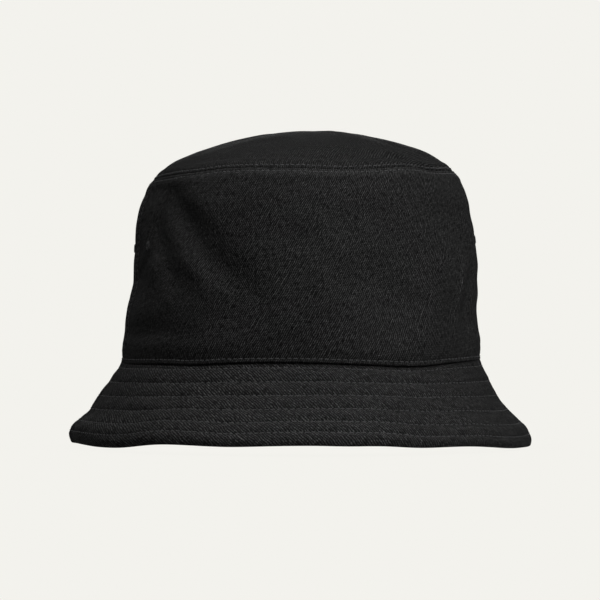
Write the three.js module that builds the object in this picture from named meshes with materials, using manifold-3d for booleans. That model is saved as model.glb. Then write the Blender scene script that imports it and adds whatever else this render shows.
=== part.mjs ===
// Bucket hat in cotton twill: oval crown tip, two side panels, a quilted two-ply brim with
// interlining, sweatband, seam tapes, stitched eyelets, a care label and topstitch threads.
// Millimetres, +Z up, front towards -Y, side seams at +X ("right" in names) and -X ("left").
// Origin: centre of the brim's bottom edge plane.
import * as THREE from "three";
import { mergeVertices } from "three/addons/utils/BufferGeometryUtils.js";
import Module from "manifold-3d";

const wasm = await Module();
wasm.setup();

// ---- driving dimensions ----
const SEGMENTS = 40; // facets round the head oval
const OVAL = 7; // half depth (front to back) minus half width (side to side)
const TIP_R = 76.5; // half width at the tip seam
const SEAM_Z = 44; // height of the crown/brim seam
const TIP_Z = 137.9; // height of the tip seam
const COLLAR_Z = 52.5; // top of the brim's seam allowance inside the crown

const FABRIC = 1.0; // thickness of the cotton twill
const INTERLINING = 0.5; // thickness of the brim stiffener
const TAPE = 0.6; // thickness of the seam tapes
const GAP = 0.3; // clearance between neighbouring layers
const THREAD = 0.6; // width and thickness of the topstitch thread
const TOPSTITCH = 2.4; // distance of a topstitch row from its seam

// ---- profiles: [half width, height] ----
// outer surface of the side panels, from the brim seam to the tip seam
const SIDE = [
  [91, SEAM_Z], [91, 50.5], [90, 59.5], [88.9, 72], [87.9, 84.5], [87.1, 96.5],
  [86, 108.5], [84.6, 119.5], [82.7, 126.9], [80, 133.1], [TIP_R, TIP_Z],
];
// upper surface of the tip, from the seam to the centre
const TIP = [
  [75.2, TIP_Z], [73.4, 140.5], [68.4, 144.9], [61, 148.8],
  [50, 152.9], [36, 156.5], [19, 159.3], [0, 160.7],
];
// upper surface of the brim, from the crown seam to the edge
const BRIM = [
  [90.7, 43.2], [93.6, 38.4], [97.6, 31.9], [103.4, 23.5],
  [108.9, 16.6], [113.6, 11], [117.3, 6.1], [118.3, 2.4],
];

// ---- materials ----
const cloth = ({ color, roughness }) =>
  new THREE.MeshStandardMaterial({ color, roughness, metalness: 0 });
const twill = cloth({ color: 0x212121, roughness: 0.92 });
const twillUnder = cloth({ color: 0x1f1f1f, roughness: 0.92 });
const threadMaterial = cloth({ color: 0x2c2c2c, roughness: 0.7 });
const tapeMaterial = cloth({ color: 0x1b1b1b, roughness: 0.9 });
const bandMaterial = cloth({ color: 0x191919, roughness: 0.88 });
const fleece = cloth({ color: 0x5a5a58, roughness: 0.98 });
const labelMaterial = cloth({ color: 0xd8d6cf, roughness: 0.75 });

// ---- profile helpers ----
// A point of the oval. Nearer the centre than the tip seam, the oval keeps its ratio.
const ovalPoint = (halfWidth, angle, z) => [
  halfWidth * Math.cos(angle),
  (halfWidth + OVAL * Math.min(1, halfWidth / TIP_R)) * Math.sin(angle),
  z,
];

// x of the oval at a distance y from the side seam plane; for ovals no smaller than the tip seam.
const ovalX = (halfWidth, y) => halfWidth * Math.sqrt(1 - (y / (halfWidth + OVAL)) ** 2);

// An open profile moved to the left of its direction of travel: into the hat for SIDE and
// TIP, which rise. BRIM falls, so it takes a negative distance.
function offset(profile, distance) {
  return profile.map(([r, z], i) => {
    const [beforeR, beforeZ] = profile[Math.max(0, i - 1)];
    const [afterR, afterZ] = profile[Math.min(profile.length - 1, i + 1)];
    const dr = afterR - beforeR;
    const dz = afterZ - beforeZ;
    const length = Math.hypot(dr, dz);
    return [r - (dz / length) * distance, z + (dr / length) * distance];
  });
}

// The side panels' profile at a depth from their outer surface, its ends cut level.
const sideLine = (depth) => [
  [SIDE[0][0] - depth, SEAM_Z],
  ...offset(SIDE, depth).slice(1, -1),
  [TIP_R - depth, TIP_Z],
];

// Half width of the side panels at a height and a depth from their outer surface.
function sideRadius(z, depth = 0) {
  const line = sideLine(depth);
  let i = 1;
  while (i < line.length - 1 && line[i][1] < z) i++;
  const [lowR, lowZ] = line[i - 1];
  const [highR, highZ] = line[i];
  return lowR + ((highR - lowR) * (z - lowZ)) / (highZ - lowZ);
}

const segmentLength = (profile, i) =>
  Math.hypot(profile[i][0] - profile[i - 1][0], profile[i][1] - profile[i - 1][1]);

function profileLength(profile) {
  let length = 0;
  for (let i = 1; i < profile.length; i++) length += segmentLength(profile, i);
  return length;
}

// ---- mesh helpers ----
// A mesh of a closed body, its faces turned outwards.
function toMesh(name, positions, indices, material) {
  const faces = Array.from(indices);
  const vertex = (i) => new THREE.Vector3().fromArray(positions, 3 * i);
  let volume = 0;
  for (let i = 0; i < faces.length; i += 3) {
    volume += vertex(faces[i]).dot(vertex(faces[i + 1]).cross(vertex(faces[i + 2])));
  }
  if (volume < 0) {
    for (let i = 0; i < faces.length; i += 3) {
      [faces[i + 1], faces[i + 2]] = [faces[i + 2], faces[i + 1]];
    }
  }
  const geometry = new THREE.BufferGeometry();
  geometry.setAttribute("position", new THREE.Float32BufferAttribute(positions, 3));
  geometry.setIndex(faces);
  geometry.computeVertexNormals();
  const mesh = new THREE.Mesh(geometry, material);
  mesh.name = name;
  return mesh;
}

// Vertex positions and triangle indices of a geometry, with coincident vertices merged.
function weld(geometry) {
  geometry.deleteAttribute("normal");
  geometry.deleteAttribute("uv");
  const welded = mergeVertices(geometry, 1e-4);
  return {
    positions: welded.getAttribute("position").array,
    indices: welded.getIndex().array,
  };
}

function weldedMesh(name, geometry, material) {
  const { positions, indices } = weld(geometry);
  return toMesh(name, positions, indices, material);
}

function solidOf(geometry) {
  const { positions, indices } = weld(geometry);
  return new wasm.Manifold(
    new wasm.Mesh({
      numProp: 3,
      vertProperties: new Float32Array(positions),
      triVerts: new Uint32Array(indices),
    }),
  );
}

// Quads between two loops of vertices, given by their first indices.
function joinLoops(indices, first, second, size) {
  for (let i = 0; i < size; i++) {
    const j = (i + 1) % size;
    indices.push(first + i, second + i, second + j, first + i, second + j, first + j);
  }
}

// A body through a row of stations, each a loop of [x, y, z] points. `cap` lists the triangles
// that close the first station and, reversed, the last; without it the row closes on itself.
function loft(name, stations, material, cap) {
  const size = stations[0].length;
  const last = (stations.length - 1) * size;
  const indices = [];
  for (let first = 0; first < last; first += size) {
    joinLoops(indices, first, first + size, size);
  }
  if (cap) {
    for (const [a, b, c] of cap) indices.push(a, b, c, last + a, last + c, last + b);
  } else {
    joinLoops(indices, last, 0, size);
  }
  return toMesh(name, stations.flat(2), indices, material);
}

// A closed ring round the whole oval from a closed [half width, height] section.
function ring(name, section, material) {
  const stations = Array.from({ length: SEGMENTS }, (_, k) => {
    const angle = (k / SEGMENTS) * 2 * Math.PI;
    return section.map(([r, z]) => ovalPoint(r, angle, z));
  });
  return loft(name, stations, material);
}

// Triangles that fill a section, all turning the way the section does.
function fillSection(section) {
  const points = section.map(([r, z]) => new THREE.Vector2(r, z));
  const turn = (loop) => Math.sign(THREE.ShapeUtils.area(loop));
  return THREE.ShapeUtils.triangulateShape(points, []).map(([a, b, c]) =>
    turn([points[a], points[b], points[c]]) === turn(points) ? [a, b, c] : [a, c, b],
  );
}

// The front or back half of such a ring, ending half a gap from the side seam plane.
function halfRing(name, section, material, isBack) {
  const half = SEGMENTS / 2;
  const endY = isBack ? GAP / 2 : -GAP / 2;
  const stations = [];
  for (let k = 0; k <= half; k++) {
    const angle = (k / half) * Math.PI + (isBack ? 0 : Math.PI);
    const isEnd = k === 0 || k === half;
    stations.push(
      section.map(([r, z]) => {
        const [x, y] = ovalPoint(r, angle, z);
        return [x, isEnd ? endY : y, z];
      }),
    );
  }
  return loft(name, stations, material, fillSection(section));
}

// An upright strip at a side seam: from x = faceX(z) outwards by `thickness` (inwards if it
// is negative), centred on y. `side` is 1 at +X and -1 at -X.
function uprightStrip(name, { side, heights, faceX, thickness, y, width }, material) {
  const corners = [
    [0, -width / 2], [0, width / 2], [thickness, width / 2], [thickness, -width / 2],
  ];
  const stations = heights.map((z) =>
    corners.map(([dx, dy]) => [side * (faceX(z) + dx), y + dy, z]),
  );
  return loft(name, stations, material, [[0, 1, 2], [0, 2, 3]]);
}

// A thread ring lying just off a profile's outer surface, at a distance along the profile.
function stitchRing(name, profile, distance) {
  let i = 1;
  let rest = distance;
  while (i < profile.length - 1 && rest > segmentLength(profile, i)) {
    rest -= segmentLength(profile, i);
    i++;
  }
  const length = segmentLength(profile, i);
  const [startR, startZ] = profile[i - 1];
  const alongR = (profile[i][0] - startR) / length;
  const alongZ = (profile[i][1] - startZ) / length;
  // the outward normal leans away from the hat's axis, whether the profile rises or falls
  const outward = Math.sign(alongZ);
  const corner = (along, out) => [
    startR + alongR * (rest + along) + alongZ * outward * out,
    startZ + alongZ * (rest + along) - alongR * outward * out,
  ];
  const section = [
    corner(-THREAD / 2, GAP),
    corner(THREAD / 2, GAP),
    corner(THREAD / 2, GAP + THREAD),
    corner(-THREAD / 2, GAP + THREAD),
  ];
  return ring(name, section, threadMaterial);
}

// ---- eyelets: a low collar round each hole on the outer face, with a sleeve through it ----
const EYELET_Z = 103; // height of the eyelets
const EYELET_ANGLE = 12.6; // degrees from a side seam to an eyelet
const EYELET_BORE_R = 1.0;
const EYELET_SLEEVE_R = 1.5; // outside of the sleeve
const EYELET_COLLAR_R = 2.6;
const EYELET_HOLE_R = EYELET_SLEEVE_R + 0.35; // hole in the panel, clear of the sleeve
const EYELET_HOLE_LENGTH = 14; // of the cutting cylinder
const EYELET_FACETS = 12;
const HOLE_FACETS = 10;
// reach along the eyelet's axis, from the panel's outer surface outwards
const SLEEVE_BACK = -FABRIC - 0.2;
const COLLAR_BACK = 0.35;
const COLLAR_FRONT = 0.85; // at its rim
const COLLAR_LIP = 1.05; // at the bore

const eyelets = [
  { place: "right_back", degrees: EYELET_ANGLE },
  { place: "left_back", degrees: 180 - EYELET_ANGLE },
  { place: "left_front", degrees: 180 + EYELET_ANGLE },
  { place: "right_front", degrees: 360 - EYELET_ANGLE },
];

// Turns a geometry's +Y axis square to the side panel and moves it to the eyelet's place.
function placeAtEyelet(geometry, { degrees }) {
  const angle = THREE.MathUtils.degToRad(degrees);
  const radius = sideRadius(EYELET_Z);
  const normal = new THREE.Vector3(
    Math.cos(angle) / radius,
    Math.sin(angle) / (radius + OVAL),
    0,
  ).normalize();
  const up = new THREE.Vector3(0, 1, 0);
  geometry.applyQuaternion(new THREE.Quaternion().setFromUnitVectors(up, normal));
  geometry.translate(...ovalPoint(radius, angle, EYELET_Z));
  return geometry;
}

function eyeletMesh(eyelet) {
  const profile = [
    [EYELET_BORE_R, SLEEVE_BACK],
    [EYELET_SLEEVE_R, SLEEVE_BACK],
    [EYELET_SLEEVE_R, COLLAR_BACK],
    [EYELET_COLLAR_R, COLLAR_BACK],
    [EYELET_COLLAR_R, COLLAR_FRONT],
    [EYELET_BORE_R, COLLAR_LIP],
    [EYELET_BORE_R, SLEEVE_BACK],
  ].map(([r, reach]) => new THREE.Vector2(r, reach));
  const geometry = placeAtEyelet(new THREE.LatheGeometry(profile, EYELET_FACETS), eyelet);
  return weldedMesh(`eyelet_${eyelet.place}`, geometry, threadMaterial);
}

// ---- crown side panels, with holes for the eyelets ----
function sidePanel(where) {
  const name = `crown_side_${where}`;
  const section = [...SIDE, ...sideLine(FABRIC).reverse()];
  let solid = solidOf(halfRing(name, section, twill, where === "back").geometry);
  for (const eyelet of eyelets.filter(({ place }) => place.endsWith(where))) {
    const cutter = new THREE.CylinderGeometry(
      EYELET_HOLE_R, EYELET_HOLE_R, EYELET_HOLE_LENGTH, HOLE_FACETS,
    );
    solid = solid.subtract(solidOf(placeAtEyelet(cutter, eyelet)));
  }
  const { vertProperties, triVerts } = solid.getMesh();
  return toMesh(name, vertProperties, triVerts, twill);
}

// ---- topstitch rows along both sides of each side seam ----
function sideSeamStitches() {
  const heights = [SEAM_Z + 4.5, ...SIDE.slice(1, -2).map(([, z]) => z), TIP_Z - 6.9];
  const rows = [];
  for (const [sideName, side] of [["left", -1], ["right", 1]]) {
    for (const [where, y] of [["front", -TOPSTITCH], ["back", TOPSTITCH]]) {
      const faceX = (z) => ovalX(sideRadius(z), y) + GAP;
      const shape = { side, heights, faceX, thickness: THREAD, y, width: THREAD };
      rows.push(uprightStrip(`stitch_side_${sideName}_${where}`, shape, threadMaterial));
    }
  }
  return rows;
}

// ---- crown tip: a dome with its seam allowance turned down inside the side panels ----
const ALLOWANCE_LOW_Z = TIP_Z - 7.5; // lower edge of the seam allowance
const ALLOWANCE_BEND_Z = TIP_Z - 4.4;
const TIP_BEND = { inset: 1.1, drop: 0.4 }; // inner skin at the seam, from the first TIP point
const TIP_TAPE_OVERHANG = 0.6; // of the tape below the allowance
const TIP_TAPE_TOP_Z = TIP_Z - 2;

// A point inside the side panels, at a depth from the allowance's outer face.
const allowancePoint = (z, depth) => [sideRadius(z, FABRIC + GAP + depth), z];

function crownTip() {
  const allowance = (depth) => [
    allowancePoint(ALLOWANCE_LOW_Z, depth),
    allowancePoint(ALLOWANCE_BEND_Z, depth),
  ];
  const outerSkin = [...allowance(0), ...TIP.slice(0, -1)];
  const innerSkin = [
    ...allowance(FABRIC),
    [TIP[0][0] - TIP_BEND.inset, TIP_Z - TIP_BEND.drop],
    ...offset(TIP, FABRIC).slice(1, -1),
  ];
  // one loop per point, from beside the inner centre down to the allowance and back up outside
  const path = [...innerSkin.reverse(), ...outerSkin];
  const positions = path.flatMap(([r, z]) =>
    Array.from({ length: SEGMENTS }, (_, k) =>
      ovalPoint(r, (k / SEGMENTS) * 2 * Math.PI, z),
    ).flat(),
  );
  const last = (path.length - 1) * SEGMENTS;
  const indices = [];
  for (let first = 0; first < last; first += SEGMENTS) {
    joinLoops(indices, first, first + SEGMENTS, SEGMENTS);
  }
  // fans close both skins at the centre
  const centreZ = TIP.at(-1)[1];
  const innerCentre = path.length * SEGMENTS;
  const outerCentre = innerCentre + 1;
  positions.push(0, 0, centreZ - FABRIC, 0, 0, centreZ);
  for (let i = 0; i < SEGMENTS; i++) {
    const j = (i + 1) % SEGMENTS;
    indices.push(i, j, innerCentre, last + j, last + i, outerCentre);
  }
  return toMesh("crown_tip", positions, indices, twill);
}

// Tape that binds the tip's seam allowance on the inside.
function tipSeamTape() {
  const heights = [ALLOWANCE_LOW_Z - TIP_TAPE_OVERHANG, ALLOWANCE_BEND_Z, TIP_TAPE_TOP_Z];
  const face = (depth) => heights.map((z) => allowancePoint(z, depth));
  const section = [...face(FABRIC + GAP), ...face(FABRIC + GAP + TAPE).reverse()];
  return ring("tip_seam_tape", section, tapeMaterial);
}

// ---- brim: upper ply, interlining, under ply ----
const BRIM_EDGE_R = 118.4; // half width of the brim at its edge
const EDGE_TOP_Z = FABRIC; // top of the edge turned under the plies
// quilting rows, as a share of the brim's slope
const BRIM_ROWS = [0.068, 0.235, 0.4, 0.567, 0.729, 0.863];
// drop below the seam at which each face bends from the collar into the brim
const BEND_DROP = { upperInner: 0.9, underOuter: 1.4, underInner: 1.9 };
// depth of each layer's faces below the brim's upper surface
const INTERLINING_TOP = FABRIC + GAP;
const INTERLINING_BOTTOM = INTERLINING_TOP + INTERLINING;
const UNDER_TOP = INTERLINING_BOTTOM + GAP;
const UNDER_BOTTOM = UNDER_TOP + FABRIC;

// Seam allowance of a ply, standing up inside the crown, from its top down to the seam.
const collar = (depth) => [
  [sideRadius(COLLAR_Z) - FABRIC - GAP - depth, COLLAR_Z],
  [sideRadius(SEAM_Z) - FABRIC - GAP - depth, SEAM_Z - GAP],
];

// The same, continued straight down to the bend.
function collarToBend(depth, drop) {
  const [top, seam] = collar(depth);
  return [top, seam, [seam[0], SEAM_Z - drop]];
}

// The brim's slope at a depth, without its point at the seam and cut level at endZ.
function brimLine(depth, endZ) {
  const line = offset(BRIM, -depth);
  const [beforeR, beforeZ] = line.at(-2);
  const [lastR, lastZ] = line.at(-1);
  const share = (endZ - beforeZ) / (lastZ - beforeZ);
  return [...line.slice(1, -1), [beforeR + (lastR - beforeR) * share, endZ]];
}

function brimLayers() {
  const edgeInnerR = brimLine(UNDER_BOTTOM, EDGE_TOP_Z).at(-1)[0];
  const plyEndZ = EDGE_TOP_Z + GAP;
  const upper = [
    ...collar(0),
    ...BRIM,
    [BRIM_EDGE_R, 0],
    [edgeInnerR, 0],
    [edgeInnerR, EDGE_TOP_Z],
    ...brimLine(FABRIC, EDGE_TOP_Z).reverse(),
    ...collarToBend(FABRIC, BEND_DROP.upperInner).reverse(),
  ];
  const interlining = [
    ...brimLine(INTERLINING_TOP, plyEndZ),
    ...brimLine(INTERLINING_BOTTOM, plyEndZ).reverse(),
  ];
  const under = [
    ...collarToBend(FABRIC + GAP, BEND_DROP.underOuter),
    ...brimLine(UNDER_TOP, plyEndZ),
    ...brimLine(UNDER_BOTTOM, plyEndZ).reverse(),
    ...collarToBend(2 * FABRIC + GAP, BEND_DROP.underInner).reverse(),
  ];
  return ["front", "back"].flatMap((where) => {
    const isBack = where === "back";
    return [
      halfRing(`brim_upper_${where}`, upper, twill, isBack),
      halfRing(`brim_interlining_${where}`, interlining, fleece, isBack),
      halfRing(`brim_under_${where}`, under, twillUnder, isBack),
    ];
  });
}

function brimStitches() {
  const slope = profileLength(BRIM);
  return BRIM_ROWS.map((share, i) =>
    stitchRing(`stitch_brim_row_${i + 1}`, BRIM, share * slope),
  );
}

// ---- sweatband ----
const BAND = 1.0; // thickness
const BAND_DEPTH = 3 * FABRIC + 3 * GAP; // from the side panels' outer surface
const BAND_MIDDLE = { z: 64.5, ease: 0.4 }; // ease: how far it leans back out to the panels
const BAND_TOP = { z: 75.5, ease: 0.9 };
const BAND_STITCH_Z = SEAM_Z + 3.5;

const bandRadius = (z, ease = 0) => sideRadius(z) - BAND_DEPTH + ease;

function sweatband() {
  const outer = [
    [bandRadius(SEAM_Z), SEAM_Z + 1.2],
    [bandRadius(COLLAR_Z), COLLAR_Z + 0.5],
    ...[BAND_MIDDLE, BAND_TOP].map(({ z, ease }) => [bandRadius(z, ease), z]),
  ];
  const inner = outer.map(([r, z]) => [r - BAND, z]);
  return ring("sweatband", [...outer, ...inner.reverse()], bandMaterial);
}

// The row near the sweatband's lower edge, on its inner face.
function sweatbandStitch() {
  const outerR = bandRadius(BAND_STITCH_Z) - BAND - GAP;
  const innerR = outerR - THREAD;
  const lowZ = BAND_STITCH_Z - THREAD / 2;
  const highZ = BAND_STITCH_Z + THREAD / 2;
  const section = [[innerR, lowZ], [outerR, lowZ], [outerR, highZ], [innerR, highZ]];
  return ring("stitch_sweatband", section, threadMaterial);
}

// ---- tape over each side seam, between the brim's seam allowance and the tip's ----
const SIDE_TAPE_WIDTH = 10;
const SIDE_TAPE_CLEARANCE = 0.15; // extra, beyond the gap
const SIDE_TAPE_HEIGHTS = [COLLAR_Z + 1, 66.5, 84.5, 102.5, 116.5, ALLOWANCE_LOW_Z - 2.4];

function sideSeamTape(sideName, side) {
  // the tape is flat: its edges come nearest the curved panel and its middle stands off it
  const faceX = (z) =>
    ovalX(sideRadius(z) - FABRIC - GAP, SIDE_TAPE_WIDTH / 2) - SIDE_TAPE_CLEARANCE;
  const shape = {
    side, heights: SIDE_TAPE_HEIGHTS, faceX, thickness: -TAPE, y: 0, width: SIDE_TAPE_WIDTH,
  };
  return uprightStrip(`side_seam_tape_${sideName}`, shape, tapeMaterial);
}

// ---- blank care label, upright inside the sweatband at the back ----
const LABEL = { width: 22, thickness: 0.5, height: 34 };
const LABEL_CENTRE = { y: 90, z: COLLAR_Z + 12 };

function careLabel() {
  const geometry = new THREE.BoxGeometry(LABEL.width, LABEL.thickness, LABEL.height);
  geometry.translate(0, LABEL_CENTRE.y, LABEL_CENTRE.z);
  return weldedMesh("care_label", geometry, labelMaterial);
}

// ---- assembly ----
const groupOf = (...parts) => new THREE.Group().add(...parts);

const crown = groupOf(
  sidePanel("front"),
  sidePanel("back"),
  ...eyelets.map(eyeletMesh),
  stitchRing("stitch_tip_lower", SIDE, profileLength(SIDE) - TOPSTITCH),
  stitchRing("stitch_crown_hem", SIDE, TOPSTITCH),
  ...sideSeamStitches(),
);
const crownTop = groupOf(
  crownTip(),
  tipSeamTape(),
  stitchRing("stitch_tip_upper", TIP, TOPSTITCH),
);
const brim = groupOf(...brimLayers(), ...brimStitches());
const inside = groupOf(
  sweatband(),
  sideSeamTape("left", -1),
  sideSeamTape("right", 1),
  careLabel(),
  sweatbandStitch(),
);

export default groupOf(crown, crownTop, brim, inside);
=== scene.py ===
"""Black cotton-twill bucket hat: the visual model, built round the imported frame.

Every piece is made from one master surface of the crown and one of the brim, both in the row frame in
millimetres. A cloth simulation and modelled folds shape the master surfaces, and each sewn piece is a closed
shell laid out in (angle, distance from seam, depth under the surface) on them.
"""

import math

import bpy
import numpy as np
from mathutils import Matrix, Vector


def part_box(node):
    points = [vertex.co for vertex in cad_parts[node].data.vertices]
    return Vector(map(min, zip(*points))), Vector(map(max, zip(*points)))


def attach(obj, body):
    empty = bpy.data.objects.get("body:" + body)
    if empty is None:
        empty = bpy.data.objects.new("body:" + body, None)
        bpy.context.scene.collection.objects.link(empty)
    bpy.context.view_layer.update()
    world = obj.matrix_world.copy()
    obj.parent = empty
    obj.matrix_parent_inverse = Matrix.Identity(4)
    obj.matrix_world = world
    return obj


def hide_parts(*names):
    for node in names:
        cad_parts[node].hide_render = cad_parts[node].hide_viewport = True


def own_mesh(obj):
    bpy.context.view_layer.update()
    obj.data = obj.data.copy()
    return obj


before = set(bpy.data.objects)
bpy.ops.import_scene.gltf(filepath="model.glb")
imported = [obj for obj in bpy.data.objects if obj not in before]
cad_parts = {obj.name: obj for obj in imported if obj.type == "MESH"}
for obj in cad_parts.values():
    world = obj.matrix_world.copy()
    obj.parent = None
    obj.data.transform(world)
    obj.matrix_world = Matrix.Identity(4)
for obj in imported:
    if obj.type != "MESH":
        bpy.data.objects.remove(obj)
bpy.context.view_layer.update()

MM = 0.001
TAU = 2 * math.pi
rng = np.random.default_rng(20)


# ------------------------------------------------------------------ sizes from the frame (mm)
def box_mm(node):
    lo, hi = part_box(node)
    return np.array(lo) / MM, np.array(hi) / MM


side_lo, side_hi = box_mm("crown_side_front")
tip_lo, tip_hi = box_mm("crown_tip")
brim_lo, brim_hi = box_mm("brim_upper_front")
band_lo, band_hi = box_mm("sweatband")
eye_lo, eye_hi = box_mm("eyelet_left_front")
HALF_W = side_hi[0]  # half width at the brim seam
OVAL = -side_lo[1] - HALF_W  # the oval is this much deeper than wide, each way
SEAM_Z, TIP_Z = side_lo[2], side_hi[2]
TOP_Z = tip_hi[2]
BRIM_R = brim_hi[0]
CROWN_H = TIP_Z - SEAM_Z
BAND_H = band_hi[2] - SEAM_Z
EYELET_Z = (eye_lo[2] + eye_hi[2]) / 2

CLOTH = 0.65  # thickness of the twill
ROLL = 0.72  # radius of a folded edge
GREY = "grain"

# ------------------------------------------------------------------ small numeric tools


def spline(xs, ys, x):
    """Natural cubic spline through (xs, ys) at x; ys may have several columns."""
    xs = np.asarray(xs, float)
    ys = np.asarray(ys, float)
    flat = ys.ndim == 1
    if flat:
        ys = ys[:, None]
    n = len(xs)
    h = np.diff(xs)
    a = np.zeros((n, n))
    b = np.zeros((n, ys.shape[1]))
    a[0, 0] = a[-1, -1] = 1
    for i in range(1, n - 1):
        a[i, i - 1], a[i, i], a[i, i + 1] = h[i - 1], 2 * (h[i - 1] + h[i]), h[i]
        b[i] = 6 * ((ys[i + 1] - ys[i]) / h[i] - (ys[i] - ys[i - 1]) / h[i - 1])
    m = np.linalg.solve(a, b)
    x = np.asarray(x, float)
    k = np.clip(np.searchsorted(xs, x) - 1, 0, n - 2)
    t = (x - xs[k])[..., None]
    hk = h[k][..., None]
    y0, y1, m0, m1 = ys[k], ys[k + 1], m[k], m[k + 1]
    out = (
        y0
        + t * ((y1 - y0) / hk - hk * (2 * m0 + m1) / 6)
        + t * t * m0 / 2
        + t**3 * (m1 - m0) / (6 * hk)
    )
    return out[..., 0] if flat else out


def loop_spline(deg, vals, theta):
    """Closed curve of values given at some angles in degrees."""
    d = np.asarray(deg, float)
    v = np.asarray(vals, float)
    o = np.argsort(d)
    d, v = d[o], v[o]
    dd = np.concatenate([d - 360, d, d + 360])
    vv = np.concatenate([v, v, v])
    return spline(dd, vv, np.degrees(theta) % 360)


def smooth(x):
    x = np.clip(x, 0, 1)
    return x * x * (3 - 2 * x)


def resample(points, step):
    """A smooth curve through (r, z) points, as points a fixed arc length apart."""
    p = np.asarray(points, float)
    c = np.concatenate([[0], np.cumsum(np.hypot(*np.diff(p, axis=0).T))])
    fine = spline(c, p, np.linspace(0, c[-1], 2000))
    s = np.concatenate([[0], np.cumsum(np.hypot(*np.diff(fine, axis=0).T))])
    n = int(round(s[-1] / step)) + 1
    want = np.linspace(0, s[-1], n)
    return want, np.stack([np.interp(want, s, fine[:, i]) for i in (0, 1)], 1)


def bspline_rows(k, n):
    """Weights that spread k coarse rows to n fine ones with a cubic B-spline."""
    u = np.linspace(0, k - 1, n)
    i = np.clip(np.floor(u).astype(int), 0, k - 2)
    t = u - i
    w = (
        np.stack(
            [(1 - t) ** 3, 3 * t**3 - 6 * t**2 + 4, -3 * t**3 + 3 * t**2 + 3 * t + 1, t**3],
            1,
        )
        / 6
    )
    idx = np.clip(np.stack([i - 1, i, i + 1, i + 2], 1), 0, k - 1)
    return idx, w


def bspline_loop(k, n):
    u = np.arange(n) / n * k
    i = np.floor(u).astype(int)
    t = u - i
    w = (
        np.stack(
            [(1 - t) ** 3, 3 * t**3 - 6 * t**2 + 4, -3 * t**3 + 3 * t**2 + 3 * t + 1, t**3],
            1,
        )
        / 6
    )
    idx = np.stack([i - 1, i, i + 1, i + 2], 1) % k
    return idx, w


def refine(field, rows, cols):
    """A coarse (rows, columns round, ...) field spread smoothly to a finer grid."""
    ri, rw = bspline_rows(field.shape[0], rows)
    ci, cw = bspline_loop(field.shape[1], cols)
    a = np.einsum("nk...,nk->n...", field[ri], rw)
    a = np.moveaxis(a, 1, 0)
    b = np.einsum("nk...,nk->n...", a[ci], cw)
    return np.moveaxis(b, 0, 1)


def normals_of(p):
    """Outward normals of a (rows, columns round) grid, rows running away from the brim seam."""
    du = np.roll(p, -1, 1) - np.roll(p, 1, 1)
    dv = np.gradient(p, axis=0)
    n = np.cross(du, dv)
    n /= np.linalg.norm(n, axis=2, keepdims=True) + 1e-12
    return n


def ripple(theta, t, waves, seed, k_lo, k_hi, t_scale, power=0.0):
    """Seeded sum of waves over the angle (whole numbers of waves round the hat) and the distance t."""
    g = np.random.default_rng(seed)
    out = np.zeros(np.broadcast(theta, t).shape)
    for _ in range(waves):
        k = int(g.integers(k_lo, k_hi + 1))
        q = g.normal() * t_scale
        out += np.cos(k * theta + q * t + g.uniform(0, TAU)) * (k_lo / k) ** power
    return out / math.sqrt(waves)


# ------------------------------------------------------------------ master surfaces
COLS = 1080
THETA = np.arange(COLS) / COLS * TAU
STEP = 0.5
VIEW_AZ = -10.0  # the side from which the hat's outline was fitted
va = math.radians(VIEW_AZ)
RIGHT = np.array([math.cos(va), math.sin(va), 0.0])
FACING = VIEW_AZ + 270.0  # angle of the hat that faces that side, in degrees

sc = HALF_W / 91.0
SIDE = [
    (91.0, 0.0), (91.1, 6.5), (90.2, 15.5), (88.9, 28.0), (87.9, 40.5), (87.1, 52.5), (86.0, 64.5),
    (84.5, 75.5), (82.5, 82.9), (79.9, 89.1), (76.5, 93.9),
]  # fmt: skip
TIP = [
    (76.5, 0.0), (72.9, 3.6), (68.0, 7.4), (60.4, 11.5), (50.0, 15.2), (36.0, 18.8), (19.0, 21.8), (0.0, 22.9),
]  # fmt: skip
dome = (TOP_Z - TIP_Z) / 22.9
crown_pts = [(r * sc, SEAM_Z + h * CROWN_H / 93.9) for r, h in SIDE]
crown_pts += [(r * sc, TIP_Z + h * dome) for r, h in TIP[1:]]
t_all, prof = resample(crown_pts, STEP)
t_all = t_all
prof[-1, 0] = 0.0
J0 = int(np.argmin(np.abs(prof[:, 1] - TIP_Z)))  # row of the tip seam
L_SIDE = t_all[J0]
L_CROWN = t_all[-1]
TIP_R = prof[J0, 0]


def oval(r, z, theta):
    e = OVAL * np.minimum(1, r / TIP_R)
    c, s = np.cos(theta), np.sin(theta)
    return np.stack(
        [r[:, None] * c, (r + e)[:, None] * s, np.repeat(z[:, None], len(theta), 1)], 2
    )


CROWN = oval(prof[:, 0], prof[:, 1], THETA)

# the brim falls more steeply at the sides than in front and behind, so its edge is lowest at the sides
b = BRIM_R / 118.4
BRIM_SIDE = [
    (89.35, 44.2), (91.2, 41.0), (93.9, 36.6), (97.9, 30.6), (103.4, 23.3), (108.9, 16.9), (113.6, 11.9),
    (116.9, 7.9), (118.3, 4.6), (118.2, 1.2),
]  # fmt: skip
BRIM_FRONT = [
    (89.35, 44.2), (91.4, 41.2), (94.3, 37.1), (98.7, 31.6), (104.5, 25.0), (110.0, 19.4), (115.1, 14.6),
    (118.7, 11.0), (120.9, 8.2), (121.4, 5.6),
]  # fmt: skip


def brim_line(points):
    p = np.array(points)
    f = (p[:, 0] - 89.35) / (118.3 - 89.35)
    p[:, 0] = p[:, 0] + f * (BRIM_R - 118.4) + (HALF_W - 91.0)
    p[:, 1] = p[:, 1] * SEAM_Z / 44.0
    return p


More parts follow.
